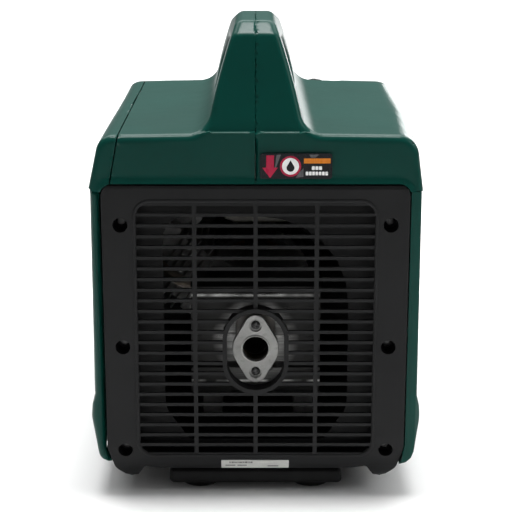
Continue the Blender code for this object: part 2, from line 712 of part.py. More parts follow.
def build_muffler_shield():
    """Bent sheet between the muffler and the grille, with a crease below the outlet."""
    thick = 0.0010
    front = -0.2150
    line = [(-0.1700, 0.2035), (front + 0.004, 0.2035), (front, 0.1990), (front, 0.1240),
            (front - 0.0040, 0.1190),
            (front - 0.0040, 0.1060), (front + 0.0030, 0.0900), (-0.1700, 0.0880)]
    outer = [Vector(p) for p in line]
    inner = [Vector((p.x + thick, p.y + (-thick if p.y > 0.15 else thick))) for p in outer]
    inner[0].x = inner[-1].x = -0.1700
    shield = extrude("muffler_shield", [outer + list(reversed(inner))], "X", -0.0620, 0.0620, SHEET)
    hole = stadium(0.0185, 0.0330, OUTLET_Z)
    cut(shield, extrude("hole", [hole], "Y", -0.24, -0.20))


# ---- base ---------------------------------------------------------------------------

def build_base():
    tray = box("base_tray", (-TRAY_X, TRAY_REAR_Y, TRAY_LOW_Z), (TRAY_X, -TRAY_REAR_Y, TRAY_TOP_Z), BLACK)
    soften(tray, 0.0030, 1, 60.0)
    join(tray, box("plate", (-0.1340, -0.2220, TRAY_TOP_Z - 0.003), (0.1340, 0.2220, TRAY_TOP_Z + 0.0030)))
    cut(tray, box("underside", (-0.0790, -0.1850, -0.01), (0.0790, 0.1850, TRAY_TOP_Z - 0.0020)))
    for x in (-1, 1):
        for y in FOOT_YS:
            side = "left" if x < 0 else "right"
            end = "rear" if y < 0 else "front"
            low = GAP - TRAY_LOW_Z
            profile = [(0.0, 0.0), (FOOT_RADIUS * 0.93, 0.0), (FOOT_RADIUS, -0.0015),
                    (FOOT_RADIUS * 0.95, -0.0050),
                       (FOOT_RADIUS * 0.84, low), (0.0, low)]
            turned(f"foot_{end}_{side}", profile, (x * FOOT_X, y, TRAY_LOW_Z - GAP), (0, 0, 1), RUBBER, 16)


# ---- engine -------------------------------------------------------------------------

def cylinder_frame():
    """Axes of the leaning cylinder: X across the bore, Z from the crankshaft to the head."""
    turn = Matrix.Rotation(CYLINDER_TILT - math.pi / 2, 4, "Y")
    return Matrix.Translation((0, CYLINDER_Y, CRANK_Z)) @ turn


def lean(made):
    """Move a piece built upright on the crankshaft axis into the leaning cylinder's place."""
    made.data.transform(cylinder_frame())
    return made


def build_engine():
    """Crankcase, finned cylinder with its head, and the pieces bolted to them."""
    y0, y1 = CRANKCASE_Y
    deck = 0.0727
    crankcase = soft_box("crankcase", (-0.0500, y0, 0.0560), (0.0550, y1, 0.1800), 0.012, CAST)
    join(crankcase, lean(box("deck", (-0.0340, -0.0340, 0.0200), (0.0340, 0.0340, deck))))
    cut(crankcase, soft_box("inside", (-0.0440, y0 + 0.008, 0.0620), (0.0490, y1 - 0.008, 0.1740), 0.008,
            None))
    cut(crankcase, rod("bearings", (0, y0 - 0.01, CRANK_Z), (0, y1 + 0.01, CRANK_Z),
            SHAFT_RADIUS + 0.0005, None, 24),
        lean(rod("bore", (0, 0, 0), (0, 0, 0.1), 0.0215, None, 24)))
    for x in (-0.0450, 0.0500):
        join(crankcase, box("foot", (x - 0.010, y0 + 0.010, TRAY_TOP_Z + 0.0030 + GAP), (x + 0.010,
                y1 - 0.010, 0.0700)))
    barrel = lean(box("cylinder_block", (-0.0290, -0.0290, deck + GAP), (0.0290, 0.0290, 0.1190), CAST))
    for fin in range(5):
        z = 0.0800 + fin * 0.0075
        join(barrel, lean(box("fin", (-0.0390, -0.0390, z), (0.0390, 0.0390, z + 0.0018))))
    join(barrel, lean(box("head", (-0.0370, -0.0370, 0.1180), (0.0370, 0.0370, 0.1340))))
    cut(barrel, lean(rod("bore", (0, 0, 0.05), (0, 0, 0.1220), 0.0215, None, 24)))
    lean(soft_box("valve_cover", (-0.0290, -0.0290, 0.1340 + GAP), (0.0290, 0.0290, 0.1500), 0.004, BLACK))

    head_y = CYLINDER_Y + 0.0370
    plug_centre = cylinder_frame() @ Vector((0, 0, 0.1260))
    plug = [(0.0, 0.0240), (0.0030, 0.0235), (0.0035, 0.0120), (0.0065, 0.0115), (0.0085, 0.0100),
            (0.0085, 0.0)]
    turned("spark_plug", plug + [(0.0, 0.0)], (plug_centre.x, head_y + GAP, plug_centre.z), (0, 1, 0),
            CERAMIC, 12)
    boot = [(0.0, 0.0440), (0.0060, 0.0430), (0.0080, 0.0400), (0.0075, 0.0125), (0.0042, 0.0125),
            (0.0042, 0.0250)]
    turned("plug_cap", boot + [(0.0, 0.0250)], (plug_centre.x, head_y + GAP, plug_centre.z), (0, 1, 0),
            BLACK, 12)

    route = [Vector(p) for p in (
        (-0.1030, CYLINDER_Y - 0.0370 - GAP, 0.1970), (-0.1020, -0.1080, 0.1960), (-0.0860, -0.1210,
                0.1840),
        (-0.0540, -0.1230, 0.1670), (-0.0370, -0.1265, 0.1600), (-0.0350, -0.1360, 0.1600))]
    tube("exhaust_manifold", smooth_route(route, 3), 0.0060, STEEL)

    coil = soft_box("ignition_coil", (-0.0220, -0.0040, 0.1885), (0.0220, 0.0500, 0.2065), 0.003, BLACK, 1)
    join(coil, box("leg", (-0.0120, -0.0120, 0.1800 + GAP), (0.0120, 0.0260, 0.1900)))


def build_intake():
    """Carburettor above the head, air filter over it, and the hose from the tank."""
    carburettor = lean(box("carburettor", (0.0370 + GAP, -0.0160, 0.1140), (0.0480, 0.0160, 0.1320), CAST))
    join(carburettor, lean(box("body", (0.0470, -0.0200, 0.1060), (0.0760, 0.0200, 0.1360))))
    join(carburettor, lean(rod("mouth", (0.0700, 0, 0.1210), (0.0900, 0, 0.1210), 0.0130, None, 20)))
    cut(carburettor, lean(rod("throat", (0.0600, 0, 0.1210), (0.1000, 0, 0.1210), 0.0090, None, 20)))
    filter_box = soft_box("air_filter_box", (-0.1180, -0.0950, 0.2800), (-0.0440, -0.0100, 0.3360),
            0.006, BLACK)
    cut(filter_box, soft_box("inside", (-0.1155, -0.0925, 0.2825), (-0.0465, -0.0125, 0.3335), 0.004, None))
    cut(filter_box, rod("inlet", (-0.0560, CYLINDER_Y, 0.27), (-0.0560, CYLINDER_Y, 0.30), 0.0090, None,
            20))
    return filter_box


def build_fuel():
    tank = soft_box("fuel_tank", TANK_LOW, TANK_HIGH, 0.014, TANK)
    join(tank, rod("neck", (CAP_X, CAP_Y, TANK_HIGH[2] - 0.01), (CAP_X, CAP_Y, NECK_TOP_Z), NECK_RADIUS,
            None, 24))
    low = [value + 0.0022 for value in TANK_LOW]
    high = [value - 0.0022 for value in TANK_HIGH]
    cut(tank, soft_box("inside", low, high, 0.012, None))
    cut(tank, rod("mouth", (CAP_X, CAP_Y, TANK_HIGH[2] - 0.018), (CAP_X, CAP_Y, 0.37), MOUTH_RADIUS,
            None, 24))
    hose_z = TANK_LOW[2] + 0.0200
    route = [Vector(p) for p in (
        (TANK_LOW[0] - GAP * 2, 0.0000, hose_z), (-0.0500, 0.0000, hose_z), (-0.0600, -0.0100, 0.2500),
        (-0.0640, -0.0220, 0.2465), (-0.0645, CYLINDER_Y + 0.0200 + GAP, 0.2460))]
    tube("fuel_hose", smooth_route(route, 4), 0.0030, FOAM)

    seal = [(NECK_RADIUS, 0.0020), (NECK_RADIUS, 0.0), (MOUTH_RADIUS, 0.0), (MOUTH_RADIUS, 0.0020)]
    gasket = turned("fuel_cap_gasket", seal, (CAP_X, CAP_Y, NECK_TOP_Z + GAP), (0, 0, 1), RUBBER, 24)
    skirt = [(0.0, 0.0130), (0.0150, 0.0130), (CAP_RADIUS - 0.004, 0.0120), (CAP_RADIUS, 0.0090),
             (CAP_RADIUS, -0.0060), (NECK_RADIUS + 0.0016, -0.0060), (NECK_RADIUS + 0.0016,
                     0.0026), (0.0, 0.0026)]
    cap = turned("fuel_cap", skirt, (CAP_X, CAP_Y, NECK_TOP_Z), (0, 0, 1), BLACK, 36)
    for step in range(12):
        angle = math.radians(step * 30)
        spot = Vector((CAP_X + CAP_RADIUS * math.cos(angle), CAP_Y + CAP_RADIUS * math.sin(angle), 0))
        cut(cap, rod("grip", spot + Vector((0, 0, 0.31)), spot + Vector((0, 0, 0.37)), 0.0014, None, 6))
    top = NECK_TOP_Z + 0.0130 + GAP
    lever = rod("cap_vent_lever", (CAP_X, CAP_Y, top), (CAP_X, CAP_Y, top + 0.0050), 0.0085, BLACK, 24)
    join(lever, soft_box("tab", (CAP_X - 0.0035, CAP_Y - 0.0020, top + 0.0005), (CAP_X + 0.0035,
            CAP_Y + 0.0170, top + 0.0045),
                         0.0012, None, 1))
    for made in (gasket, cap, lever):
        seat_origin(made, (CAP_X, CAP_Y, NECK_TOP_Z))


# ---- alternator, fan and recoil starter ---------------------------------------------

def build_rotating():
    """Crankshaft with the alternator rotor and the cooling fan on it."""
    centre = (0, 0, CRANK_Z)
    shaft = [(0.0, 0.0980), (SHAFT_RADIUS, 0.0970), (SHAFT_RADIUS, -0.0300), (0.0360, -0.0300), (0.0360,
            -0.0430),
             (0.0150, -0.0430), (0.0150, -0.0620), (0.0360, -0.0620), (0.0360, -0.0750), (SHAFT_RADIUS,
                     -0.0750),
             (SHAFT_RADIUS, -0.1180), (0.0, -0.1180)]
    crank = turned("crankshaft", shaft, centre, (0, 1, 0), STEEL, 24)
    bore = SHAFT_RADIUS + GAP
    cup = [(0.0620, 0.0700), (0.0620, 0.0300), (0.0570, 0.0300), (0.0570, 0.0640), (0.0160, 0.0640),
            (0.0160, 0.0420),
           (bore, 0.0420), (bore, 0.0700)]
    rotor = turned("alternator_rotor", cup, centre, (0, 1, 0), STEEL, 24)
    hub = [(0.0690, 0.0730), (0.0690, 0.0703), (bore, 0.0703), (bore, 0.0900), (0.0160, 0.0900), (0.0200,
            0.0730)]
    fan = turned("cooling_fan", hub, centre, (0, 1, 0), BLACK, 24)
    for blade in range(9):
        angle = math.radians(blade * 40)
        vane = box("blade", (0.0170, 0.0720, -0.0010), (0.0680, 0.0900, 0.0010))
        vane.data.transform(Matrix.Translation(centre) @ Matrix.Rotation(angle, 4, "Y"))
        join(fan, vane)
    for made in (crank, rotor, fan):
        seat_origin(made, centre)


def build_stator_and_shroud():
    centre = (0, 0, CRANK_Z)
    winding = [(0.0550, 0.0600), (0.0550, 0.0340), (0.0260, 0.0340), (0.0260, 0.0053), (0.0200, 0.0053),
            (0.0200, 0.0600)]
    turned("stator", winding, centre, (0, 1, 0), COPPER, 24)
    shroud = [(0.0790, 0.1000), (0.0790, 0.0720), (0.0765, 0.0720), (0.0765, 0.0975), (0.0400, 0.0975),
            (0.0400, 0.1000)]
    ring = turned("fan_shroud", shroud, centre, (0, 1, 0), BLACK, 24)
    for x in (-0.0620, 0.0620):
        join(ring, box("leg", (x - 0.006, 0.0750, TRAY_TOP_Z + 0.0030 + GAP), (x + 0.006, 0.0970, 0.0726)))


def build_recoil():
    centre = (0, 0, CRANK_Z)
    cage = [(0.0, 0.1300), (0.0460, 0.1300), (0.0480, 0.1280), (0.0480, 0.1003), (0.0450, 0.1003),
            (0.0450, 0.1270),
            (0.0050, 0.1270), (0.0050, 0.1055), (0.0, 0.1055)]
    housing = turned("recoil_housing", cage, centre, (0, 1, 0), BLACK, 24)
    cut(housing, rod("rope_exit", (0, PULLEY_Y, ROPE_Z), (0.09, PULLEY_Y, ROPE_Z), 0.0040, None, 12))
    for step in range(6):
        angle = math.radians(60 * step + 30)
        slot = box("vent", (0.0100, 0.1200, -0.0040), (0.0400, 0.1400, 0.0040))
        slot.data.transform(Matrix.Translation(centre) @ Matrix.Rotation(angle, 4, "Y"))
        cut(housing, slot)
    half = 0.0062
    sheave = [(0.0360, half), (0.0360, half - 0.0020), (0.0272, 0.0030), (0.0272, -0.0030), (0.0360,
            0.0020 - half),
              (0.0360, -half), (0.0055, -half), (0.0055, half)]
    pulley = turned("recoil_pulley", sheave, (0, PULLEY_Y, CRANK_Z), (0, 1, 0), BLACK, 20)
    seat_origin(pulley, (0, PULLEY_Y, CRANK_Z))

    wound = []
    for step in range(16):
        angle = math.radians(90 + 300 * (16 - step) / 16)
        wound.append(Vector((PULLEY_RADIUS * math.cos(angle), PULLEY_Y,
                CRANK_Z + PULLEY_RADIUS * math.sin(angle))))
    straight = [Vector((0.1408 * step / 12, PULLEY_Y, ROPE_Z)) for step in range(13)]
    tube("starter_rope", wound + straight, ROPE_RADIUS, ROPE)

    bush = [(0.0105, 0.0013), (0.0105, GAP), (0.0077, GAP), (0.0077, -0.0050), (0.0034, -0.0050),
            (0.0034, 0.0013)]
    turned("rope_guide", bush, (0.1390, PULLEY_Y, ROPE_Z), (1, 0, 0), BLACK, 14)
    grip = soft_box("starter_grip", (0.1412, PULLEY_Y - 0.0260, ROPE_Z - 0.0100), (0.1550,
            PULLEY_Y + 0.0260, ROPE_Z + 0.0100),
                    0.0040, BLACK)
    seat_origin(grip, (0.1412, PULLEY_Y, ROPE_Z))


# ---- electrical side ----------------------------------------------------------------

def build_inverter_module():
    module = soft_box("inverter_module", (-0.0700, 0.1500, 0.0500), (0.0700, 0.1800, 0.1700), 0.003,
            CAST, 1)
    for x in range(-6, 7, 2):
        join(module, box("fin", (x * 0.0100 - 0.0010, 0.1360, 0.0530), (x * 0.0100 + 0.0010, 0.1520,
                0.1670)))
    join(module, box("stand", (-0.0600, 0.1560, TRAY_TOP_Z + 0.0030 + GAP), (0.0600, 0.1740, 0.0520)))


def build_controls(window):
    """Control plate and everything that is fitted to it."""
    face = CONTROL_FACE_Y
    plate = extrude("control_panel", [inset(window, GAP)], "Y", face - 0.0040, face, BLACK)

    def fitting(name, x, z, width, height, stand, finish, radius=0.0020):
        """Socket or switch body with a flange on the plate and a neck through it."""
        made = soft_box(name, (x - width / 2, face + GAP, z - height / 2), (x + width / 2, face + stand,
                z + height / 2),
                        radius, finish, 1)
        neck = (width * 0.42, height * 0.42)
        join(made, box("neck", (x - neck[0], face - 0.0250, z - neck[1]), (x + neck[0],
                face + stand * 0.7, z + neck[1])))
        cut(plate, box("hole", (x - neck[0] - GAP, face - 0.03, z - neck[1] - GAP),
                       (x + neck[0] + GAP, face + 0.01, z + neck[1] + GAP)))
        return made

    for name, x in (("ac_outlet_left", 0.0640), ("ac_outlet_right", 0.0080)):
        socket = fitting(name, x, 0.1550, 0.0400, 0.0440, 0.0050, CHARCOAL)
        for side in (-1, 1):
            cut(socket, box("slot", (x + side * 0.0065 - 0.0009, face - 0.0120, 0.1560),
                    (x + side * 0.0065 + 0.0009, face + 0.01, 0.1640)))
        cut(socket, rod("earth", (x, face - 0.0120, 0.1450), (x, face + 0.01, 0.1450), 0.0025, None, 12))
    usb = fitting("usb_port", -0.0900, 0.1550, 0.0260, 0.0300, 0.0040, CHARCOAL)
    for z in (0.1490, 0.1610):
        cut(usb, box("slot", (-0.0965, face - 0.0100, z - 0.0025), (-0.0835, face + 0.01, z + 0.0025)))
    direct = rod("dc_socket", (-0.0470, face + GAP, 0.1550), (-0.0470, face + 0.0050, 0.1550), 0.0140,
            CHARCOAL, 24)
    join(direct, rod("neck", (-0.0470, face - 0.0200, 0.1550), (-0.0470, face + 0.0030, 0.1550), 0.0110,
            None, 24))
    cut(direct, rod("hole", (-0.0470, face - 0.0150, 0.1550), (-0.0470, face + 0.0100, 0.1550), 0.0080,
            None, 20))
    cut(plate, rod("hole", (-0.0470, face - 0.03, 0.1550), (-0.0470, face + 0.01, 0.1550), 0.0113, None,
            24))

    dial_at = (-0.0680, face, 0.2330)
    dial = turned("engine_dial", [(0.0, 0.0040), (0.0210, 0.0040), (0.0230, 0.0025), (0.0230, GAP), (0.0,
            GAP)], dial_at,
                  (0, 1, 0), BLACK, 28)
    join(dial, soft_box("bar", (dial_at[0] - 0.0045, face + 0.0020, dial_at[2] - 0.0195),
                        (dial_at[0] + 0.0045, FRONT_Y + OUTLET_STAND,
                                dial_at[2] + 0.0195), 0.0020, None, 1))
    seat_origin(dial, dial_at)

    frame_x = 0.0080
    rocker = soft_box("economy_switch", (frame_x - 0.0070, face - 0.0100, 0.2240), (frame_x + 0.0070,
            face + 0.0040, 0.2420),
                      0.0015, BLACK, 1)
    cut(plate, box("hole", (frame_x - 0.0075, face - 0.03, 0.2210), (frame_x + 0.0075, face + 0.01,
            0.2450)))
    seat_origin(rocker, (frame_x, face - 0.0050, 0.2330))
    button = turned("reset_button", [(0.0, 0.0060), (0.0055, 0.0055), (0.0060, 0.0040), (0.0060,
            -0.0080), (0.0, -0.0080)],
                    (0.0500, face, 0.2330), (0, 1, 0), RED, 20)
    cut(plate, rod("hole", (0.0500, face - 0.03, 0.2330), (0.0500, face + 0.01, 0.2330), 0.0064, None, 20))
    seat_origin(button, (0.0500, face, 0.2330))

    post = [(0.0, 0.0110), (0.0030, 0.0105), (0.0030, 0.0060), (0.0060, 0.0060), (0.0060, GAP), (0.0, GAP)]
    turned("ground_terminal", post, (-0.0900, face, 0.1000), (0, 1, 0), STEEL, 12)


# ---- small outer pieces -------------------------------------------------------------

def build_outer_details():
    knob = turned("cover_knob", [(0.0, 0.0029), (0.0090, 0.0029), (0.0105, 0.0020), (0.0105, 0.0), (0.0,
            0.0)],
                  (-SIDE_X - 0.0012, 0.0, 0.2400), (-1, 0, 0), BLACK, 24)
    join(knob, rod("shank", (-SIDE_X - 0.0020, 0.0, 0.2400), (-0.1400, 0.0, 0.2400), 0.0050, None, 16))
    seat_origin(knob, (-SIDE_X - 0.0012, 0.0, 0.2400))
    low_x, low_z, high_x, high_z = HEAT_PLATE
    outline = rounded([(low_x, low_z, 0.002), (high_x, low_z, 0.002), (high_x, high_z, 0.002), (low_x,
            high_z, 0.002)], 2)
    extrude("heat_plate", [outline], "Y", REAR_Y - 0.0008, REAR_Y - GAP, BLACK)


def smooth_round_pieces():
    for made in PARTS.objects:
        made.data.shade_smooth()
        made.data.set_sharp_from_angle(angle=math.radians(30))


def main():
    _, _, cover = build_upper_shell()
    build_side_walls(cover)
    build_rear_panel()
    build_panel_screws()
    build_rear_baffle()
    window = build_front_panel()
    build_exhaust_flange()
    build_muffler()
    build_muffler_shield()
    build_base()
    build_engine()
    build_intake()
    build_fuel()
    build_rotating()
    build_stator_and_shroud()
    build_recoil()
    build_inverter_module()
    build_controls(window)
    build_outer_details()
    smooth_round_pieces()


main()
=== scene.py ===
"""Looks of the portable inverter generator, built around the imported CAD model.

Units are metres, in the CAD frame: +Z up, exhaust end on -Y, control end on +Y.
"""

import math

import bmesh
import bpy
import numpy as np
from mathutils import Matrix, Vector


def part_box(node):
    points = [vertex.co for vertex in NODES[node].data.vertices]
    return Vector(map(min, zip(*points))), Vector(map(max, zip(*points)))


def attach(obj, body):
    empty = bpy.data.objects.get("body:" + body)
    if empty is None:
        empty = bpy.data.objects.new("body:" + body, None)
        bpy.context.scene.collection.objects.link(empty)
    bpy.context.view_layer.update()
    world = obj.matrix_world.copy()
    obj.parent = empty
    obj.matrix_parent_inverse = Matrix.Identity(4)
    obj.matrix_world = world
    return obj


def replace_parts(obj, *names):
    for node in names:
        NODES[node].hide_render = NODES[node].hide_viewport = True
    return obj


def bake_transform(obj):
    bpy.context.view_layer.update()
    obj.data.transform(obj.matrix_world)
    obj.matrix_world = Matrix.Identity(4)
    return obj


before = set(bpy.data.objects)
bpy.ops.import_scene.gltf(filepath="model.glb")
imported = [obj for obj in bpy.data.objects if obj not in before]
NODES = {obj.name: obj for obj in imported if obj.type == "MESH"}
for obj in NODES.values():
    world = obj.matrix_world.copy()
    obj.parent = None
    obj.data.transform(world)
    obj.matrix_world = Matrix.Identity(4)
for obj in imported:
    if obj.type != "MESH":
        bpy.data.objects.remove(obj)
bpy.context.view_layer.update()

ROOT = "frame"

# ---- places taken from the CAD ------------------------------------------------------

HOOD_LOW, HOOD_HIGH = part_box("shell_right")
PANEL_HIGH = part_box("rear_panel")[1]
FLANGE_LOW, FLANGE_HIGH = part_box("exhaust_flange")
LABEL_LOW, LABEL_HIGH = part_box("heat_plate")
CAP_LOW, CAP_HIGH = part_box("fuel_cap")
REAR_Y = HOOD_LOW.y
PANEL_X = PANEL_HIGH.x
PANEL_TOP_Z = PANEL_HIGH.z
SKIRT_X = HOOD_HIGH.x
SKIRT_Z = HOOD_LOW.z
OUTLET_Z = (FLANGE_LOW.z + FLANGE_HIGH.z) / 2
FLANGE_Y = FLANGE_LOW.y
CAP_X = (CAP_LOW.x + CAP_HIGH.x) / 2
CAP_Y = (CAP_LOW.y + CAP_HIGH.y) / 2

HOOD_Z = 0.3510              # top of the hood at its middle
NOSE_Z = 0.3180              # top of the hood at the control end
CREST_Y = 0.0850             # where the top starts to fall towards that end
WALL = 0.0042                # thickness of the mouldings
SEAM_TOP_X = 0.1250          # seam of the service cover, at the top
SEAM_LOW_X = 0.1335          # and level with the top of the rear panel
SEAM_GAP = 0.00055           # half the gap between two mouldings
FILLER_GAP = 0.0040
FILLER_RADIUS = (CAP_HIGH.x - CAP_LOW.x) / 2 + FILLER_GAP


# ---- node materials -----------------------------------------------------------------

class Finish:
    """A procedural material under construction, with short calls for nodes and links.

    An input is given by its name, with _ for a space, or by its number as i0, i1 and so on.
    """

    def __init__(self, name):
        self.material = bpy.data.materials.new(name)
        self.material.use_nodes = True
        self.tree = self.material.node_tree
        self.shader = self.tree.nodes["Principled BSDF"]
        self.place = self.add("ShaderNodeTexCoord").outputs["Object"]

    def add(self, kind, settings=None, **inputs):
        node = self.tree.nodes.new(kind)
        for key, value in (settings or {}).items():
            setattr(node, key, value)
        for key, value in inputs.items():
            numbered = key[0] == "i" and key[1:].isdigit()
            self.put(node.inputs[int(key[1:]) if numbered else key.replace("_", " ")], value)
        return node

    def put(self, socket, value):
        if isinstance(value, bpy.types.NodeSocket):
            self.tree.links.new(value, socket)
        else:
            socket.default_value = value

    def set(self, **inputs):
        for key, value in inputs.items():
            self.put(self.shader.inputs[key.replace("_", " ")], value)

    def stretched(self, scale):
        return self.add("ShaderNodeMapping", Vector=self.place, Scale=scale).outputs["Vector"]

    def noise(self, scale, detail=3.0, vector=None, roughness=0.55):
        return self.add("ShaderNodeTexNoise", Vector=vector or self.place, Scale=scale,
                        Detail=detail, Roughness=roughness).outputs["Fac"]

    def cells(self, scale, feature="F1"):
        node = self.add("ShaderNodeTexVoronoi", {"feature": feature}, Vector=self.place, Scale=scale)
        return node.outputs["Distance"]

    def bands(self, direction, scale, vector=None, distortion=0.6, detail=2.0):
        return self.add("ShaderNodeTexWave", {"wave_type": "BANDS", "bands_direction": direction},
                        Vector=vector or self.place, Scale=scale, Distortion=distortion,
                        Detail=detail).outputs["Fac"]

    def ranged(self, value, from_low, from_high, to_low, to_high):
        return self.add("ShaderNodeMapRange", Value=value, From_Min=from_low, From_Max=from_high,
                        To_Min=to_low, To_Max=to_high).outputs["Result"]

    def mixed(self, factor, first, second):
        node = self.add("ShaderNodeMix", {"data_type": "RGBA"}, i0=factor, i6=first, i7=second)
        return node.outputs[2]

    def maths(self, operation, first, second):
        return self.add("ShaderNodeMath", {"operation": operation}, i0=first, i1=second).outputs["Value"]

    def bump(self, height, distance, strength=1.0, under=None):
        node = self.add("ShaderNodeBump", Height=height, Distance=distance, Strength=strength)
        if under is not None:
            self.put(node.inputs["Normal"], under)
        return node.outputs["Normal"]


def shade(colour, factor):
    return (*[min(1.0, c * factor) for c in colour], 1.0)


def moulded(name, colour, roughness, grain_mm=0.7, depth=0.00010, tone=0.12, dust=0.0):
    """Moulded plastic: fine pebbled grain, slight flow marks and uneven gloss."""
    f = Finish(name)
    drift = f.noise(9.0, 4.0)
    smudge = f.noise(38.0, 5.0)
    base = f.mixed(f.ranged(drift, 0.3, 0.7, 0.0, 1.0), shade(colour, 1 - tone), shade(colour, 1 + tone))
    if dust:
        specks = f.ranged(f.noise(900.0, 2.0), 0.68, 0.80, 0.0, dust)
        base = f.mixed(specks, base, (0.35, 0.36, 0.35, 1.0))
    grain = f.cells(1000.0 / grain_mm, "SMOOTH_F1")
    fine = f.noise(2600.0 / grain_mm, 2.0)
    height = f.maths("ADD", grain, f.maths("MULTIPLY", fine, 0.5))
    normal = f.bump(smudge, 0.00004, 0.35)
    f.set(Base_Color=base, Roughness=f.ranged(smudge, 0.2, 0.8, roughness - 0.02, roughness + 0.03),
          Normal=f.bump(height, depth, 0.6, normal), Specular_IOR_Level=0.14)
    return f.material


def cast_metal(name, colour, roughness, grain_mm=0.5):
    """As-cast light alloy: sandy skin, small pits, uneven oxide."""
    f = Finish(name)
    pits = f.cells(1000.0 / grain_mm)
    sand = f.noise(1500.0, 4.0)
    cloud = f.noise(45.0, 5.0)
    base = f.mixed(f.ranged(cloud, 0.3, 0.7, 0.0, 1.0), shade(colour, 0.80), shade(colour, 1.12))
    stain = f.ranged(f.noise(160.0, 3.0), 0.56, 0.72, 0.0, 0.45)
    base = f.mixed(stain, base, shade(colour, 0.50))
    height = f.maths("ADD", f.maths("MULTIPLY", pits, 0.7), sand)
    f.set(Base_Color=base, Metallic=0.65,
          Roughness=f.ranged(sand, 0.3, 0.7, roughness - 0.06, roughness + 0.10),
          Normal=f.bump(height, 0.00018, 0.8))
    return f.material


def rolled_sheet(name, colour, roughness, along=(4.0, 4.0, 160.0), heat=0.0):
    """Bright pressed sheet: rolling lines, light dents and, where hot, a straw tint."""
    f = Finish(name)
    lines = f.noise(9.0, 5.0, f.stretched(along))
    dents = f.noise(26.0, 2.0)
    base = f.mixed(f.ranged(lines, 0.3, 0.7, 0.0, 1.0), shade(colour, 0.85), shade(colour, 1.10))
    if heat:
        warm = f.ranged(f.noise(14.0, 3.0), 0.40, 0.70, 0.0, heat)
        base = f.mixed(warm, base, (0.42, 0.30, 0.17, 1.0))
    normal = f.bump(dents, 0.0016, 0.5)
    f.set(Base_Color=base, Metallic=1.0,
          Roughness=f.ranged(lines, 0.3, 0.7, roughness - 0.06, roughness + 0.10),
          Normal=f.bump(lines, 0.00006, 0.6, normal))
    return f.material


# Heights of the two creases on the shield, where bands of painted highlight run.
SHIELD_HIGHLIGHT_Z = (OUTLET_Z + 0.0445, OUTLET_Z - 0.0405)


def shaded_sheet(name, colour, roughness):
    """Pressed shield: painted shade darkens it away from the outlet, leaving it bright near the outlet, and
    painted highlights brighten two creases.
    """
    f = Finish(name)
    away = f.add("ShaderNodeVectorMath", {"operation": "DISTANCE"},
                 i0=f.add("ShaderNodeMapping", Vector=f.place, Scale=(1.0, 0.0, 1.0)).outputs["Vector"],
                 i1=(0.0, 0.0, OUTLET_Z)).outputs["Value"]
    streaks = f.noise(7.0, 4.0, f.stretched((3.0, 3.0, 90.0)))
    # Painted shade: in streaks, the sheet keeps its full colour near the outlet and goes dark away from it.
    lit_near_outlet = f.maths("MULTIPLY", f.ranged(away, 0.018, 0.042, 0.85, 0.0),
                    f.ranged(streaks, 0.35, 0.65, 0.35, 1.0))
    height = f.add("ShaderNodeSeparateXYZ", Vector=f.place).outputs["Z"]
    highlight_breakup = f.ranged(f.noise(30.0, 2.0, f.stretched((1.0, 1.0, 0.1))), 0.44, 0.56, 0.0, 1.0)
    painted_light_mask = lit_near_outlet
    # Painted highlights along the two creases.
    for crease in SHIELD_HIGHLIGHT_Z:
        apart = f.add("ShaderNodeMath", {"operation": "ABSOLUTE"}, i0=f.maths("SUBTRACT", height, crease))
        near = f.ranged(apart.outputs["Value"], 0.0006, 0.0018, 1.0, 0.0)
        painted_light_mask = f.maths("MAXIMUM", painted_light_mask, f.maths("MULTIPLY", near, highlight_breakup))
    # Dark end is painted shade, full colour is the painted lit area.
    base = f.mixed(painted_light_mask, shade(colour, 0.045), shade(colour, 1.0))
    normal = f.bump(f.noise(26.0, 2.0), 0.0016, 0.5)
    f.set(Base_Color=base, Metallic=0.9,
          Roughness=f.ranged(streaks, 0.3, 0.7, roughness + 0.10, roughness - 0.04),
          Normal=f.bump(streaks, 0.00008, 0.6, normal))
    return f.material


def wound(name, colour):
    """Lacquered wire: fine turns side by side with darker gaps."""
    f = Finish(name)
    turns = f.bands("Y", 260.0, distortion=1.2)
    base = f.mixed(turns, shade(colour, 0.35), shade(colour, 1.1))
    f.set(Base_Color=base, Metallic=0.9, Roughness=f.ranged(f.noise(300.0), 0.3, 0.7, 0.25, 0.42),
          Normal=f.bump(turns, 0.0004, 0.9))
    return f.material


def braided(name, colour):
    """Braided cord: two sets of strands crossing, fuzzy and matt."""
    f = Finish(name)
    one = f.bands("DIAGONAL", 420.0, f.stretched((1, 1, 1)))
    two = f.bands("DIAGONAL", 420.0, f.stretched((-1, 1, 1)))
    weave = f.maths("MAXIMUM", one, two)
    base = f.mixed(weave, shade(colour, 0.4), shade(colour, 1.5))
    f.set(Base_Color=base, Roughness=f.ranged(weave, 0.0, 1.0, 0.95, 0.80), Normal=f.bump(weave, 0.0003, 0.8))
    return f.material


def printed(name, colour, roughness=0.28):
    """Printed film: flat ink under a thin clear layer, with faint scuffs."""
    f = Finish(name)
    scuff = f.noise(700.0, 4.0, f.stretched((1.0, 1.0, 0.15)))
    cloud = f.noise(120.0, 3.0)
    base = f.mixed(f.ranged(cloud, 0.3, 0.7, 0.0, 1.0), shade(colour, 0.93), shade(colour, 1.06))
    f.set(Base_Color=base, Roughness=f.ranged(scuff, 0.35, 0.75, roughness - 0.05, roughness + 0.18),
          Normal=f.bump(scuff, 0.00002, 0.5), Coat_Weight=0.06, Coat_Roughness=0.15, Specular_IOR_Level=0.22)
    return f.material


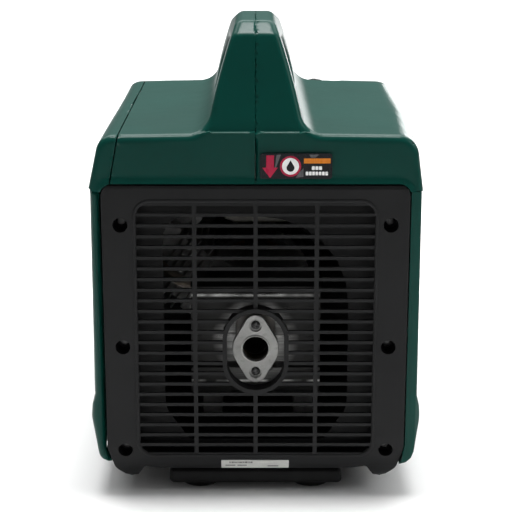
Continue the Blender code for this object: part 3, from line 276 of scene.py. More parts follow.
MATERIALS = {
    "green": moulded("green_shell", (0.0012, 0.0440, 0.0335), 0.31, 0.8, 0.00003, 0.08),
    "charcoal": moulded("charcoal_plastic", (0.0130, 0.0133, 0.0137), 0.46, 0.7, 0.00005, 0.14),
    "baffle": moulded("baffle_plastic", (0.0150, 0.0152, 0.0154), 0.50, 0.7, 0.00005, 0.16, 0.10),
    "black": moulded("black_plastic", (0.0045, 0.0046, 0.0048), 0.50, 0.9, 0.00005, 0.18),
    "rubber": moulded("foot_rubber", (0.0090, 0.0090, 0.0092), 0.78, 1.6, 0.00016, 0.25, 0.20),
    "tank": moulded("tank_plastic", (0.30, 0.29, 0.26), 0.42, 1.8, 0.00012, 0.08),
    "red": moulded("red_plastic", (0.42, 0.012, 0.014), 0.36, 0.9, 0.00006, 0.10),
    "hose": moulded("hose_rubber", (0.010, 0.010, 0.011), 0.55, 1.1, 0.00008, 0.20),
    "ceramic": moulded("ceramic_glaze", (0.66, 0.65, 0.60), 0.18, 3.0, 0.00004, 0.05),
    "cast": cast_metal("cast_aluminium", (0.34, 0.34, 0.335), 0.52),
    "flange_cast": cast_metal("flange_casting", (0.30, 0.30, 0.29), 0.50, 0.9),
    "machined": rolled_sheet("machined_rim", (0.26, 0.26, 0.25), 0.34, (160.0, 4.0, 160.0)),
    "sheet": shaded_sheet("shield_sheet", (0.42, 0.42, 0.41), 0.30),
    "hot_sheet": rolled_sheet("muffler_sheet", (0.42, 0.41, 0.40), 0.34, (4.0, 60.0, 4.0), 0.55),
    "soot": cast_metal("sooty_screen", (0.012, 0.011, 0.010), 0.75),
    "steel": rolled_sheet("zinc_steel", (0.34, 0.345, 0.35), 0.32, (90.0, 90.0, 90.0)),
    "screw": rolled_sheet("dark_screw", (0.07, 0.07, 0.07), 0.36, (90.0, 90.0, 90.0)),
    "copper": wound("copper_wire", (0.50, 0.20, 0.08)),
    "rope": braided("starter_cord", (0.028, 0.028, 0.030)),
    "label_black": printed("label_black", (0.004, 0.0045, 0.007)),
    "label_red": printed("label_red", (0.42, 0.010, 0.050)),
    "label_white": printed("label_white", (0.92, 0.92, 0.91)),
    "label_orange": printed("label_orange", (0.72, 0.22, 0.015)),
    "label_grey": printed("label_grey", (0.10, 0.10, 0.105)),
    "plate_paper": printed("plate_paper", (0.60, 0.60, 0.57), 0.38),
    "lamp_green": printed("lamp_green", (0.02, 0.30, 0.05), 0.15),
    "lamp_amber": printed("lamp_amber", (0.45, 0.14, 0.01), 0.15),
    "lamp_red": printed("lamp_red", (0.40, 0.01, 0.01), 0.15),
}

NODE_FINISH = {
    "green": ("shell_right", "shell_left", "service_cover", "side_panel_right"),
    "charcoal": ("rear_panel", "front_panel", "ac_outlet_left", "ac_outlet_right", "usb_port", "dc_socket",
                 "cover_knob", "starter_grip", "fuel_cap"),
    "baffle": ("rear_baffle",),
    "black": ("control_panel", "base_tray", "air_filter_box", "fan_shroud", "cooling_fan", "recoil_housing",
              "recoil_pulley", "rope_guide", "plug_cap", "engine_dial", "economy_switch", "ignition_coil",
              "valve_cover", "cap_vent_lever"),
    "rubber": ("foot_rear_left", "foot_rear_right", "foot_front_left", "foot_front_right", "fuel_cap_gasket"),
    "tank": ("fuel_tank",),
    "red": ("reset_button",),
    "hose": ("fuel_hose",),
    "ceramic": ("spark_plug",),
    "cast": ("crankcase", "cylinder_block", "carburettor", "inverter_module"),
    "flange_cast": ("exhaust_flange",),
    "sheet": ("muffler_shield",),
    "hot_sheet": ("muffler", "exhaust_manifold"),
    "soot": ("spark_arrestor",),
    "steel": ("crankshaft", "alternator_rotor", "ground_terminal"),
    "screw": ("flange_screw_upper", "flange_screw_lower", *[f"rear_panel_screw_{i}" for i in range(1, 7)]),
    "copper": ("stator",),
    "rope": ("starter_rope",),
    "label_black": ("heat_plate",),
}

EDGE_RADIUS = {
    "rear_panel": 0.0006, "front_panel": 0.0008, "rear_baffle": 0.0003, "base_tray": 0.0012,
    "side_panel_right": 0.0008, "exhaust_flange": 0.0004, "heat_plate": 0.0001, "starter_grip": 0.0012,
    "control_panel": 0.0005, "cover_knob": 0.0006, "fuel_cap": 0.0008, "muffler_shield": 0.0004,
    "crankcase": 0.0015, "cylinder_block": 0.0006, "muffler": 0.0008,
}
DEFAULT_EDGE = 0.0004
WELD = 0.00001


def smooth(mesh, angle=35.0):
    mesh.shade_smooth()
    mesh.set_sharp_from_angle(angle=math.radians(angle))


def soften_edges(made, width, segments=2, angle=32.0):
    bevel = made.modifiers.new("edges", "BEVEL")
    bevel.width = width
    bevel.segments = segments
    bevel.limit_method = "ANGLE"
    bevel.angle_limit = math.radians(angle)
    bevel.harden_normals = False
    bevel.miter_outer = "MITER_ARC"


def dress_cad_nodes():
    for finish, names in NODE_FINISH.items():
        for name in names:
            made = NODES[name]
            made.data.materials.clear()
            made.data.materials.append(MATERIALS[finish])
            weld = made.modifiers.new("weld", "WELD")
            weld.merge_threshold = WELD
            soften_edges(made, EDGE_RADIUS.get(name, DEFAULT_EDGE))
            made.data.shade_smooth()
            tidy = made.modifiers.new("shading", "WEIGHTED_NORMAL")
            tidy.keep_sharp = True
            made.data.set_sharp_from_angle(angle=math.radians(35.0))


# ---- mesh helpers -------------------------------------------------------------------

def piece(name, points, faces, finish, body=ROOT, angle=35.0):
    mesh = bpy.data.meshes.new(name)
    mesh.from_pydata([tuple(p) for p in points], [], faces)
    mesh.validate()
    made = bpy.data.objects.new(name, mesh)
    bpy.context.scene.collection.objects.link(made)
    mesh.materials.append(MATERIALS[finish])
    smooth(mesh, angle)
    if body:
        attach(made, body)
    return made


def rounded(corners, steps=8):
    """Outline through corners (u, v, radius), each turned into an arc of its radius."""
    points = []
    for index, (u, v, radius) in enumerate(corners):
        corner = Vector((u, v))
        if radius <= 0:
            points.append(corner)
            continue
        back = (Vector(corners[index - 1][:2]) - corner).normalized()
        ahead = (Vector(corners[(index + 1) % len(corners)][:2]) - corner).normalized()
        half = back.angle(ahead) / 2
        centre = corner + (back + ahead).normalized() * (radius / math.sin(half))
        first = corner + back * (radius / math.tan(half)) - centre
        last = corner + ahead * (radius / math.tan(half)) - centre
        points += [centre + first.slerp(last, k / steps).normalized() * radius for k in range(steps + 1)]
    return points


# ---- moulded body from distance fields ----------------------------------------------

class FlatField:
    """Signed distance to a closed flat outline, negative inside, read from a table."""

    def __init__(self, points, low, high, pitch=0.0005):
        self.low, self.pitch = low, pitch
        counts = [int(math.ceil((h - l) / pitch)) + 2 for l, h in zip(low, high)]
        u = (low[0] + pitch * np.arange(counts[0]))[:, None]
        v = (low[1] + pitch * np.arange(counts[1]))[None, :]
        nearest = np.full(counts, 1e9)
        inside = np.zeros(counts, bool)
        for a, b in zip(points, points[1:] + points[:1]):
            run, rise = b[0] - a[0], b[1] - a[1]
            share = ((u - a[0]) * run + (v - a[1]) * rise) / max(run * run + rise * rise, 1e-16)
            share = np.clip(share, 0, 1)
            nearest = np.minimum(nearest, (u - a[0] - share * run) ** 2 + (v - a[1] - share * rise) ** 2)
            if rise:
                inside ^= ((a[1] > v) != (b[1] > v)) & (u < run * (v - a[1]) / rise + a[0])
        self.table = np.where(inside, -1, 1) * np.sqrt(nearest)

    def __call__(self, u, v):
        at_u = np.clip((u - self.low[0]) / self.pitch, 0, self.table.shape[0] - 1.01)
        at_v = np.clip((v - self.low[1]) / self.pitch, 0, self.table.shape[1] - 1.01)
        i, j = at_u.astype(int), at_v.astype(int)
        s, t = at_u - i, at_v - j
        table = self.table
        return ((table[i, j] * (1 - s) + table[i + 1, j] * s) * (1 - t)
                + (table[i, j + 1] * (1 - s) + table[i + 1, j + 1] * s) * t)


def round_max(a, b, radius):
    """Both shapes at once, their common edge rounded."""
    beyond = np.hypot(np.maximum(a + radius, 0), np.maximum(b + radius, 0))
    return np.minimum(np.maximum(a, b), -radius) + beyond


def round_min(a, b, radius):
    """Either shape, with a hollow fillet where they meet."""
    within = np.hypot(np.maximum(radius - a, 0), np.maximum(radius - b, 0))
    return np.maximum(np.minimum(a, b), radius) - within


TETRAHEDRON = np.array([[1, 1, 1], [1, -1, -1], [-1, 1, -1], [-1, -1, 1]], float)
SLOPE_REACH = 0.00025        # how far from a point its slope is sampled
CREASE_PULL = 0.03           # small, so that a vertex can move onto a crisp edge


def contour(field, low, high, step):
    """Quads of the field's zero surface, one vertex per cell, placed to keep edges crisp."""
    axes = [np.arange(l, h + step, step) for l, h in zip(low, high)]
    grid = field(axes[0][:, None, None], axes[1][None, :, None], axes[2][None, None, :])
    value = np.broadcast_to(grid, [len(a) for a in axes])
    shape = value.shape
    inside = value < 0
    points, owners, quads = [], [], []
    for axis in range(3):
        b, c = (axis + 1) % 3, (axis + 2) % 3
        head, tail = [slice(None)] * 3, [slice(None)] * 3
        head[axis], tail[axis] = slice(None, -1), slice(1, None)
        at = np.argwhere(inside[tuple(head)] != inside[tuple(tail)])
        at = at[(at[:, b] > 0) & (at[:, b] < shape[b] - 1) & (at[:, c] > 0) & (at[:, c] < shape[c] - 1)]
        after_at = at.copy()
        after_at[:, axis] += 1
        before, after = value[tuple(at.T)], value[tuple(after_at.T)]
        place = np.stack([axes[k][at[:, k]] for k in range(3)], axis=1)
        place[:, axis] += before / (before - after) * step
        around = []
        for step_b, step_c in ((-1, -1), (0, -1), (0, 0), (-1, 0)):
            cell = at.copy()
            cell[:, b] += step_b
            cell[:, c] += step_c
            around.append(np.ravel_multi_index(tuple(cell.T), shape))
        around = np.stack(around, axis=1)
        turned = np.where((before < 0)[:, None], around, around[:, ::-1])
        points.append(place)
        owners.append(around)
        quads.append(turned)
    points, owners, quads = np.concatenate(points), np.concatenate(owners), np.concatenate(quads)
    normals, levels = np.zeros_like(points), np.zeros(len(points))
    for corner in TETRAHEDRON:
        sampled = field(*(points + corner * SLOPE_REACH).T)
        normals += sampled[:, None] * corner
        levels += sampled / 4
    normals /= np.maximum(np.linalg.norm(normals, axis=1), 1e-12)[:, None]
    points = points - normals * levels[:, None]
    cells, owner = np.unique(owners.reshape(-1), return_inverse=True)
    owner = owner.reshape(-1)
    each_point, each_normal = np.repeat(points, 4, axis=0), np.repeat(normals, 4, axis=0)

    def total(weights):
        return np.bincount(owner, weights=weights, minlength=len(cells))

    count = total(np.ones(len(owner)))
    centre = np.stack([total(each_point[:, k]) / count for k in range(3)], axis=1)
    matrix = np.empty((len(cells), 3, 3))
    for row in range(3):
        for column in range(3):
            matrix[:, row, column] = total(each_normal[:, row] * each_normal[:, column])
    plane = np.einsum("ij,ij->i", each_normal, each_point - centre[owner])
    pull = np.stack([total(each_normal[:, k] * plane) for k in range(3)], axis=1)
    matrix += CREASE_PULL * np.eye(3)
    vertices = centre + np.linalg.solve(matrix, pull[:, :, None])[:, :, 0]
    index = np.stack(np.unravel_index(cells, shape), axis=1)
    corner_low = np.stack([axes[k][index[:, k]] for k in range(3)], axis=1)
    vertices = np.clip(vertices, corner_low - 0.05 * step, corner_low + 1.05 * step)
    lookup = np.searchsorted(cells, quads)
    return vertices, lookup


def steepest(field, points, reach=0.0003):
    """Unit direction in which the field grows, at each point."""
    grown = np.zeros_like(points)
    for corner in TETRAHEDRON:
        grown += field(*(points + corner * reach).T)[:, None] * corner
    return grown / np.maximum(np.linalg.norm(grown, axis=1), 1e-12)[:, None]


def true_normals(mesh, field, angle=33.0):
    """Shades a mesh with the field's own normals, and flat faces beside its sharp edges."""
    spots = np.empty(len(mesh.vertices) * 3)
    mesh.vertices.foreach_get("co", spots)
    grown = steepest(field, spots.reshape(-1, 3))
    corners = np.empty(len(mesh.loops), int)
    mesh.loops.foreach_get("vertex_index", corners)
    sides, flat = np.empty(len(mesh.polygons), int), np.empty(len(mesh.polygons) * 3)
    mesh.polygons.foreach_get("loop_total", sides)
    mesh.polygons.foreach_get("normal", flat)
    flat = np.repeat(flat.reshape(-1, 3), sides, axis=0)
    grown = grown[corners]
    agrees = np.einsum("ij,ij->i", grown, flat) > math.cos(math.radians(angle))
    mesh.shade_smooth()
    mesh.normals_split_custom_set(np.where(agrees[:, None], grown, flat).tolist())


def field_piece(name, field, low, high, body, node):
    """A green moulding from a distance field, standing for a CAD node."""
    vertices, faces = contour(field, low, high, BODY_STEP)
    mesh = bpy.data.meshes.new(name)
    mesh.from_pydata(vertices.tolist(), [], faces.tolist())
    mesh.validate()
    made = bpy.data.objects.new(name, mesh)
    bpy.context.scene.collection.objects.link(made)
    mesh.materials.append(MATERIALS["green"])
    true_normals(mesh, field)
    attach(made, body)
    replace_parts(made, node)


END_Y = 0.2482               # fascia plane, a little inside the lip
LIP_OUT = 0.0020             # how far the lip round each end opening stands out
LIP_WIDE = 0.0060
POCKET_DEEP = 0.2229         # inner end of the recess that takes each end panel
CROWN = 0.0036               # the top falls this much from the middle to the shoulders at its crest
TOP_EDGE = 0.0060            # radius along the top edges
SHOULDER_SWELL = 0.0065      # the right shoulder widens this much away from the rear end
HANDLE_FLARE = 0.0165        # hollow radius at the foot of the handle
GAP_EDGE = 0.0105            # radius round the hand gap
FILLER_EDGE = 0.0012
BODY_STEP = 0.0027           # spacing of the grid that the moulded skins are taken from

SECTION = FlatField(rounded([
    (-SKIRT_X - 0.0004, 0.24, 0), (SKIRT_X + 0.0004, 0.24, 0), (SKIRT_X + 0.0002, 0.3000, 0.004),
    (0.1500, 0.3257, 0.030), (0.1470, HOOD_Z - 0.0005, 0.0200), (0.06, HOOD_Z + 0.0008, 0),
    (0.0, HOOD_Z + 0.001, 0), (-0.06, HOOD_Z + 0.0008, 0), (-0.1425, HOOD_Z - 0.0005, 0.0165),
    (-0.1479, 0.3257, 0.030), (-SKIRT_X - 0.0002, 0.3000, 0.004)]),
    (-0.17, 0.23), (0.17, 0.37))
PROFILE = FlatField(rounded([
    (-END_Y, 0.20, 0), (END_Y, 0.20, 0), (END_Y, NOSE_Z, 0.006),
    (CREST_Y, HOOD_Z + 0.0035, 0.080), (-END_Y, HOOD_Z + 0.0035, 0)], 14),
    (-0.27, 0.23), (0.27, 0.37))
HANDLE_OUTER = FlatField(rounded([
    (-END_Y, 0.300, 0), (CREST_Y + 0.030, 0.300, 0), (CREST_Y + 0.030, 0.335, 0.010),
    (0.020, 0.4300, 0.060), (-0.150, 0.4535, 0.200), (-0.2120, 0.4508, 0.010),
    (-0.2265, 0.4395, 0.005), (-END_Y, 0.340, 0.060)], 16),
    (-0.27, 0.29), (0.16, 0.48))
HANDLE_GAP = FlatField(rounded([
    (-0.1960, 0.3720, 0.014), (-0.0200, 0.3720, 0.018), (-0.0560, 0.4140, 0.016),
    (-0.1840, 0.4250, 0.014)], 10),
    (-0.27, 0.29), (0.16, 0.48))
POCKET = FlatField(rounded([
    (-0.05, 0.20, 0), (PANEL_X + 0.0010, 0.20, 0), (PANEL_X + 0.0010, PANEL_TOP_Z + 0.0008, 0.0115),
    (-0.05, PANEL_TOP_Z + 0.0008, 0)]),
    (0.0, 0.23), (0.17, 0.37))
GRIP_TOP_Z = 0.4535
GRIP_HALF = 0.0164           # half width of the handle at its top
GRIP_LEAN = 0.3676           # slope of its sides there
GRIP_BOW = 0.8915            # how fast that slope eases off further down, per metre


def wedge(x, z):
    """Leaning, slightly bowed side faces of the handle."""
    fallen = np.clip(GRIP_TOP_Z - z, -0.02, 0.14)
    slope = GRIP_LEAN - 2 * GRIP_BOW * fallen
    return (np.abs(x) - GRIP_HALF - GRIP_LEAN * fallen + GRIP_BOW * fallen ** 2) / np.hypot(1, slope)


def eased(value):
    value = np.clip(value, 0, 1)
    return value * value * (3 - 2 * value)


def hood_field(x, y, z):
    """Hollow hood with its handle, both end openings and the filler hole."""
    wide = np.abs(x)
    pocket = POCKET(wide, z)
    along = y - np.sign(y) * LIP_OUT * eased(1 - pocket / LIP_WIDE)
    fallen = z + CROWN * (wide / SEAM_TOP_X) ** 2 * eased((y - REAR_Y) / (CREST_Y - REAR_Y))
    swollen = SHOULDER_SWELL * eased((y - REAR_Y - 0.008) / 0.170) * eased((z - SKIRT_Z) / 0.030)
    section, profile = SECTION(x - np.where(x > 0, swollen, 0), fallen), PROFILE(along, z)
    side_view = np.minimum(profile, HANDLE_OUTER(along, z))
    solid = round_max(round_min(section, wedge(x, z), HANDLE_FLARE), side_view, TOP_EDGE)
    solid = round_max(solid, -HANDLE_GAP(y, z), GAP_EDGE)
    hollow = np.maximum(section, profile) + WALL
    solid = np.maximum(np.maximum(solid, SKIRT_Z - z), -hollow)
    solid = np.maximum(solid, -np.maximum(pocket, POCKET_DEEP - np.abs(y)))
    filler = np.hypot(x - CAP_X, y - CAP_Y) - FILLER_RADIUS
    return round_max(solid, -filler, FILLER_EDGE)


def seam_field(x, z):
    """Leaning seam of the service cover: negative on the cover's side."""
    lean = (SEAM_LOW_X - SEAM_TOP_X) / (HOOD_Z - PANEL_TOP_Z)
    return (x + SEAM_TOP_X + lean * np.maximum(HOOD_Z - z, 0)) / math.hypot(1, lean)


WALL_SECTION = FlatField(rounded([
    (0.1427, 0.3003, 0), (0.1427, 0.0500, 0), (0.1400, 0.0370, 0), (0.1385, 0.0320, 0),
    (0.1495, 0.0320, 0.0115), (0.1566, 0.0780, 0.030), (0.1556, 0.0900, 0.004),
    (0.1530, 0.1010, 0.004), (0.1520, 0.3003, 0)], 8),
    (0.10, 0.02), (0.17, 0.32))
WALL_END_Y = 0.2494
WALL_END_THICK = WALL * 1.6
WALL_FLOOR_Z = 0.0350
WALL_INNER_X = 0.1470
WALL_CORNER = 0.0085


def wall_field(x, y, z):
    """Side wall on the left: a tall tray that wraps round both ends."""
    wide = -x
    solid = round_max(WALL_SECTION(wide, z), np.abs(y) - WALL_END_Y, WALL_CORNER)
    past_end = np.abs(y) - WALL_END_Y + WALL_END_THICK
    inner = np.minimum(WALL_SECTION(wide + WALL, z), wide - WALL_INNER_X)
    hollow = np.maximum(np.maximum(inner, WALL_FLOOR_Z - z), past_end)
    return np.maximum(solid, -hollow)


TONGUE_SUNK = 0.0011
TONGUE_HALF = 0.0018
KNOB_Z = 0.240
KNOB_HOLE = 0.0062


def right_shell(x, y, z):
    """Right half, with a tongue that closes the seam from inside."""
    whole = hood_field(x, y, z)
    tongue = np.maximum(whole + TONGUE_SUNK, np.abs(x) - TONGUE_HALF)
    return np.minimum(np.maximum(whole, SEAM_GAP - x), tongue)


def left_shell(x, y, z):
    halved = np.maximum(hood_field(x, y, z), x + SEAM_GAP)
    return np.maximum(halved, SEAM_GAP - seam_field(x, z))


def cover_shell(x, y, z):
    top = np.maximum(hood_field(x, y, z), seam_field(x, z) + SEAM_GAP)
    knob = np.hypot(y, z - KNOB_Z) - KNOB_HOLE
    return np.maximum(np.minimum(top, wall_field(x, y, z)), -knob)


def build_body():
    """The three upper mouldings, each sampled in a box a little larger than itself."""
    field_piece("body_shell_right", right_shell, (-0.0052, -0.256, 0.290), (0.160, 0.256, 0.464),
                ROOT, "shell_right")
    field_piece("body_shell_left", left_shell, (-0.142, -0.256, 0.290), (0.004, 0.256, 0.464),
                ROOT, "shell_left")
    field_piece("service_cover_skin", cover_shell, (-0.162, -0.256, 0.025), (-0.118, 0.256, 0.360),
                "service_cover", "service_cover")


# ---- rear end -----------------------------------------------------------------------

CHIN_Z = 0.0605
CHIN_TALL = 0.050
CHIN_DEEP = 0.028
GRILLE_X = 0.110
GRILLE_Z = (0.0415, 0.2890)
GRILLE_CORNER = 0.013


def panel_y(z):
    """Outer face of the rear panel at a height: upright, then curving under."""
    sine = min(1.0, max(0.0, (CHIN_Z - z) / CHIN_TALL))
    return REAR_Y + CHIN_DEEP * (1 - math.sqrt(1 - sine * sine))


def prism(name, outline, face_y, thick, finish, rooted=0.0002):
    """Thin flat shape on a face that looks towards -Y, its outline in (x, z)."""
    count = len(outline)
    points = [(u, face_y - thick, v) for u, v in outline] + [(u, face_y + rooted, v) for u, v in outline]
    faces = [tuple(range(count)), tuple(range(2 * count - 1, count - 1, -1))]
    faces += [(k, k + count, (k + 1) % count + count, (k + 1) % count) for k in range(count)]
    made = piece(name, points, faces, finish, None)
    bm = bmesh.new()
    bm.from_mesh(made.data)
    bmesh.ops.recalc_face_normals(bm, faces=bm.faces)
    bm.to_mesh(made.data)
    bm.free()
    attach(made, ROOT)
    return made


def build_grille_frame():
    """Raised bead round the grille, following the panel down its chin."""
    half, tall, sunk = 0.0016, 0.0009, 0.0004
    off = half + 0.0002
    across, low, high, corner = GRILLE_X + off, GRILLE_Z[0] - off, GRILLE_Z[1] + off, GRILLE_CORNER + off
    line = rounded([(-across, low, corner), (across, low, corner), (across, high, corner),
                    (-across, high, corner)], 12)
    spots = []
    for a, b in zip(line, line[1:] + line[:1]):
        cuts = max(1, int((b - a).length / 0.012))
        spots += [a.lerp(b, k / cuts) for k in range(cuts)]
    section = [(half * math.cos(a), tall * math.sin(a) ** 0.8) for a in np.linspace(0, math.pi, 9)]
    section += [(-half, -sunk), (half, -sunk)]
    points, faces, size, count = [], [], len(section), len(spots)
    for index, spot in enumerate(spots):
        ahead = (spots[(index + 1) % count] - spots[index - 1]).normalized()
        outward = Vector((ahead.y, -ahead.x))
        for aside, up in section:
            z = spot.y + outward.y * aside
            points.append((spot.x + outward.x * aside, panel_y(z) - up, z))
        for k in range(size):
            near, far = index * size, ((index + 1) % count) * size
            faces.append((near + k, near + (k + 1) % size, far + (k + 1) % size, far + k))
    piece("grille_frame", points, faces, "charcoal", ROOT, 50.0)


# Size and place of a black sheet put in for shade only, behind the control end.
SHADE_SHEET_X = 0.128
SHADE_SHEET_Z = (0.028, 0.290)
SHADE_SHEET_Y = 0.2050
SHADE_SHEET_THICK = 0.0010


def build_shade_sheet():
    """Black sheet behind the control end, put in for shade only: it keeps light from showing through the
    grille.
    """
    sheet = box_outline(-SHADE_SHEET_X, SHADE_SHEET_Z[0], SHADE_SHEET_X, SHADE_SHEET_Z[1], 0.006)
    prism("front_shade_sheet", sheet, SHADE_SHEET_Y, SHADE_SHEET_THICK, "black")


def disc_outline(x, z, radius, steps=36):
    turns = np.linspace(0, 2 * math.pi, steps, False)
    return [(x + radius * math.cos(a), z + radius * math.sin(a)) for a in turns]


def box_outline(low_x, low_z, high_x, high_z, radius=0.0003):
    return [tuple(p) for p in rounded([
        (low_x, low_z, radius), (high_x, low_z, radius), (high_x, high_z, radius),
        (low_x, high_z, radius)], 3)]


def build_label():
    """Printed plate on the fascia: plain shapes in place of its print, placed in millimetres."""
    left, top, face = LABEL_LOW.x, LABEL_HIGH.z, LABEL_LOW.y

    def at(x_mm, z_mm):
        return left + x_mm / 1000, top - z_mm / 1000

    def print_on(name, outline, height, finish):
        prism(name, outline, face, height, finish)

    bands = (((15.0, 1.0), (19.0, 1.0), (14.5, 13.0), (13.6, 13.0)),
             ((44.5, 0.9), (54.0, 0.9), (50.0, 3.9), (46.5, 3.9)),
             ((35.6, 17.5), (39.5, 13.5), (39.5, 21.6), (32.5, 22.4)))
    for index, band in enumerate(bands):
        print_on(f"label_band_{index + 1}", [at(*corner) for corner in band], 0.00006, "label_grey")
    arrow = ((5.7, 1.7), (12.7, 1.7), (12.7, 13.0), (16.2, 13.0), (9.2, 22.6), (1.9, 13.0), (5.7, 13.0))
    print_on("label_arrow", [at(*corner) for corner in arrow], 0.00012, "label_red")
    x, z = at(27.7, 11.8)
    print_on("label_ring", disc_outline(x, z, 0.0096), 0.00010, "label_red")
    print_on("label_disc", disc_outline(x, z, 0.0077), 0.00015, "label_white")
    drop = [(0.0, 0.0056)]
    drop += [(0.0036 * math.sin(a), -0.0014 - 0.0036 * math.cos(a))
             for a in np.radians(np.arange(110, -111, -20))]
    print_on("label_drop", [(x + u, z + v) for u, v in drop], 0.00020, "label_black")
    print_on("label_bar", box_outline(*at(39.8, 9.1), *at(64.0, 4.5)), 0.00012, "label_orange")
    made = 0
    for start, end, z_mm, blocks in ((46.8, 56.6, 15.1, 3), (41.3, 62.0, 20.1, 7)):
        width = (end - start) / blocks
        for k in range(blocks):
            made += 1
            low = at(start + k * width + 0.25, z_mm)
            high = at(start + (k + 1) * width - 0.25, z_mm - 3.4)
            print_on(f"label_block_{made:02d}", box_outline(*low, *high, 0.0006), 0.00012, "label_white")


def build_data_plate():
    """Pale plate on the chin, with plain bars for its print."""
    centre_x, centre_z = -0.0005, 0.0298
    width, tall, thick, ink = 0.0650, 0.0104, 0.00035, 0.00005
    reach = 0.004
    lean = math.atan2(panel_y(centre_z - reach) - panel_y(centre_z + reach), 2 * reach)
    middle = Vector((centre_x, panel_y(centre_z), centre_z))
    turn = Matrix.Rotation(lean, 4, "X")

    def lay(made):
        made.data.transform(Matrix.Translation(middle) @ turn)
        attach(made, ROOT)

    plate = box_outline(-width / 2, -tall / 2, width / 2, tall / 2, 0.0008)
    lay(prism("data_plate", plate, 0.0, thick, "plate_paper"))
    widths = (0.8, 0.4, 1.2, 0.5, 0.9, 0.4, 0.4, 1.1, 0.6, 0.8, 0.4, 1.3, 0.5, 0.7, 0.4, 1.0)
    x = -0.0245
    for index, wide in enumerate(widths):
        tick = box_outline(x, 0.0012, x + wide / 1000, 0.0034, 0.0001)
        lay(prism(f"data_tick_{index + 1:02d}", tick, -thick, ink, "label_black"))
        x += wide / 1000 + 0.0007
    bars = ((-0.0285, -0.0190, -0.0022), (-0.0170, -0.0080, -0.0022), (0.0120, 0.0225, -0.0032))
    for index, (low, high, base) in enumerate(bars):
        bar = box_outline(low, base, high, base + 0.0011, 0.0002)
        lay(prism(f"data_bar_{index + 1}", bar, -thick, ink, "label_grey"))


def lathe(name, profile, centre, direction, finish, steps):
    """Turned piece from a profile of (radius, height) along a direction."""
    points, faces, rows = [], [], []
    for radius, height in profile:
        if radius < 1e-7:
            rows.append([len(points)] * steps)
            points.append(Vector((0, 0, height)))
        else:
            rows.append(list(range(len(points), len(points) + steps)))
            points += [Vector((radius * math.cos(a), radius * math.sin(a), height))
                       for a in np.linspace(0, 2 * math.pi, steps, False)]
    for low, high in zip(rows, rows[1:]):
        for k in range(steps):
            ring = [low[k], low[(k + 1) % steps], high[(k + 1) % steps], high[k]]
            face = tuple(dict.fromkeys(ring))
            if len(face) > 2:
                faces.append(face)
    turn = Vector((0, 0, 1)).rotation_difference(Vector(direction))
    matrix = Matrix.Translation(centre) @ turn.to_matrix().to_4x4()
    return piece(name, [matrix @ p for p in points], faces, finish, ROOT, 40.0)


def build_flange_details():
    """Turned rim of the outlet bore, and the two screws with their cross recesses."""
    centre = Vector((0, FLANGE_Y, OUTLET_Z))
    rim = [(0.01228, 0.0022), (0.01228, -0.0004), (0.0125, -0.0006), (0.0136, -0.0006),
           (0.0140, -0.0003), (0.0140, 0.0004)]
    lathe("flange_bore_rim", rim, centre, (0, 1, 0), "machined", 56)
    for node in ("flange_screw_upper", "flange_screw_lower"):
        low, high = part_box(node)
        z = (low.z + high.z) / 2
        head = [(0.0, 0.0024), (0.0012, 0.00235), (0.0024, 0.0020), (0.0034, 0.0013), (0.0041, 0.0004),
                (0.0042, 0.0), (0.0020, 0.0), (0.0020, -0.0070), (0.0, -0.0076)]
        base_y = low.y + 0.0022
        made = lathe(f"{node}_head", head[::-1], Vector((0, base_y, z)), (0, -1, 0),
                     "screw", 36)
        blades = bpy.data.meshes.new("cross")
        bm = bmesh.new()
        turn = 0.35 if node.endswith("upper") else -0.15
        for angle in (turn, turn + math.pi / 2):
            place = Matrix.Translation((0, base_y - 0.0024, z)) @ Matrix.Rotation(angle, 4, "Y")
            bmesh.ops.create_cube(bm, size=1.0, matrix=place @ Matrix.Diagonal((0.0056, 0.0034, 0.0013, 1.0)))
        bm.to_mesh(blades)
        bm.free()
        cross = bpy.data.objects.new("cross", blades)
        bpy.context.scene.collection.objects.link(cross)
        cut = made.modifiers.new("cross", "BOOLEAN")
        cut.operation, cut.solver, cut.object = "DIFFERENCE", "EXACT", cross
        cut.use_self = True
        graph = bpy.context.evaluated_depsgraph_get()
        mesh = bpy.data.meshes.new_from_object(made.evaluated_get(graph))
        made.modifiers.clear()
        made.data = mesh
        bpy.data.objects.remove(cross)
        smooth(mesh, 40.0)
        soften_edges(made, 0.00012)
        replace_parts(made, node)


# ---- starter rope and controls ------------------------------------------------------

def tube(name, route, radius, finish, closed, body, sides=14):
    """Round piece along a route, with flat ends unless closed."""
    points, faces, count = [], [], len(route)
    side_hint = Vector((0, 1, 0))
    for index, spot in enumerate(route):
        if closed:
            ahead = (route[(index + 1) % count] - route[index - 1]).normalized()
        else:
            ahead = (route[min(index + 1, count - 1)] - route[max(index - 1, 0)]).normalized()
        side = side_hint - ahead * side_hint.dot(ahead)
        side.normalize()
        up = ahead.cross(side)
        points += [spot + (side * math.cos(a) + up * math.sin(a)) * radius
                   for a in np.linspace(0, 2 * math.pi, sides, False)]
    rings = count if closed else count - 1
    for ring in range(rings):
        near, far = ring * sides, ((ring + 1) % count) * sides
        faces += [(near + k, near + (k + 1) % sides, far + (k + 1) % sides, far + k) for k in range(sides)]
    if not closed:
        faces += [tuple(range(sides - 1, -1, -1)), tuple(range((count - 1) * sides, count * sides))]
    return piece(name, points, faces, finish, body, 60.0)


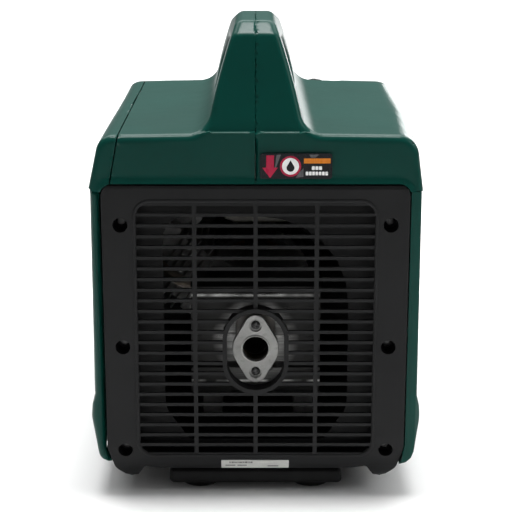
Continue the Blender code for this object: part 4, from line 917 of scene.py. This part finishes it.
def build_rope():
    """Starter cord: a turn on the pulley, and the run out to the grip."""
    low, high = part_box("starter_rope")
    pulley_low, pulley_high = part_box("recoil_pulley")
    y, z_axis = (low.y + high.y) / 2, (pulley_low.z + pulley_high.z) / 2
    radius = (high.y - low.y) / 2
    wind = high.z - radius - z_axis
    turn = [Vector((wind * math.sin(a), y, z_axis + wind * math.cos(a)))
            for a in np.radians(range(0, 360, 6))]
    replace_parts(tube("rope_turn", turn, radius, "rope", True, ROOT), "starter_rope")
    run = [Vector((x, y, z_axis + wind)) for x in np.linspace(0.0, high.x, 30)]
    made = tube("rope_run", run, radius, "rope", False, None)
    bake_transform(made)
    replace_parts(made, "starter_rope")


def build_lamps():
    """Three small lamp lenses on the control panel."""
    face, lamp_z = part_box("control_panel")[1].y, 0.233
    for name, x in (("lamp_green", 0.078), ("lamp_amber", 0.091), ("lamp_red", 0.104)):
        dome = [(0.0034, -0.0006), (0.0034, 0.0004), (0.0027, 0.0007), (0.0025, 0.0012),
                (0.0018, 0.0018), (0.0009, 0.0021), (0.0, 0.0022)]
        lathe(name, dome, Vector((x, face, lamp_z)), (0, 1, 0), name, 28)


# ---- stage, lights and camera -------------------------------------------------------

def plain(name, colour, roughness):
    f = Finish(name)
    f.set(Base_Color=f.mixed(f.noise(3.0), shade(colour, 0.995), shade(colour, 1.0)), Roughness=roughness)
    return f.material


def build_stage():
    """Plain pale floor, a hair under the feet."""
    reach = 12
    bm = bmesh.new()
    bm.faces.new([bm.verts.new((x, y, -0.0002))
                  for x, y in ((-reach, -reach), (reach, -reach), (reach, reach), (-reach, reach))])
    mesh = bpy.data.meshes.new("studio_floor")
    bm.to_mesh(mesh)
    bm.free()
    floor = bpy.data.objects.new("studio_floor", mesh)
    bpy.context.scene.collection.objects.link(floor)
    mesh.materials.append(plain("studio_paper", (0.93, 0.93, 0.93), 0.9))


def area_light(name, place, target, size, power):
    data = bpy.data.lights.new(name, "AREA")
    data.shape = "RECTANGLE"
    data.size, data.size_y = size
    data.energy = power
    made = bpy.data.objects.new(name, data)
    bpy.context.scene.collection.objects.link(made)
    made.location = place
    made.rotation_mode = "QUATERNION"
    made.rotation_quaternion = (Vector(target) - Vector(place)).to_track_quat("-Z", "Y")
    made.visible_camera = False
    return made


def build_lights():
    world = bpy.data.worlds.new("studio")
    bpy.context.scene.world = world
    world.use_nodes = True
    background = world.node_tree.nodes["Background"]
    background.inputs["Color"].default_value = (1, 1, 1, 1)
    background.inputs["Strength"].default_value = 0.20
    area_light("strip_back_right", (0.95, 2.6, 0.50), (0.12, 0, 0.34), (0.55, 0.8), 8.0)
    area_light("softbox_side", (2.2, -0.6, 1.6), (0, 0, 0.3), (0.7, 1.2), 16)
    area_light("softbox_top", (0.0, -0.10, 2.2), (0, 0.05, 0.2), (1.1, 0.36), 58)
    area_light("backdrop_wash", (0.0, 3.2, 3.4), (0, 3.0, 0), (6.0, 3.0), 260)


def build_camera():
    data = bpy.data.cameras.new("camera")
    data.sensor_width = 36.0
    data.lens = 104.3
    made = bpy.data.objects.new("camera", data)
    bpy.context.scene.collection.objects.link(made)
    made.location = (0.0004, REAR_Y - 1.320, 0.600)
    made.rotation_euler = (math.radians(90.0 - 15.3), 0, 0)
    bpy.context.scene.camera = made
    bpy.context.scene.view_settings.view_transform = "Standard"


build_camera()
dress_cad_nodes()
build_body()
build_grille_frame()
build_shade_sheet()
build_label()
build_data_plate()
build_flange_details()
build_rope()
build_lamps()
build_stage()
build_lights()
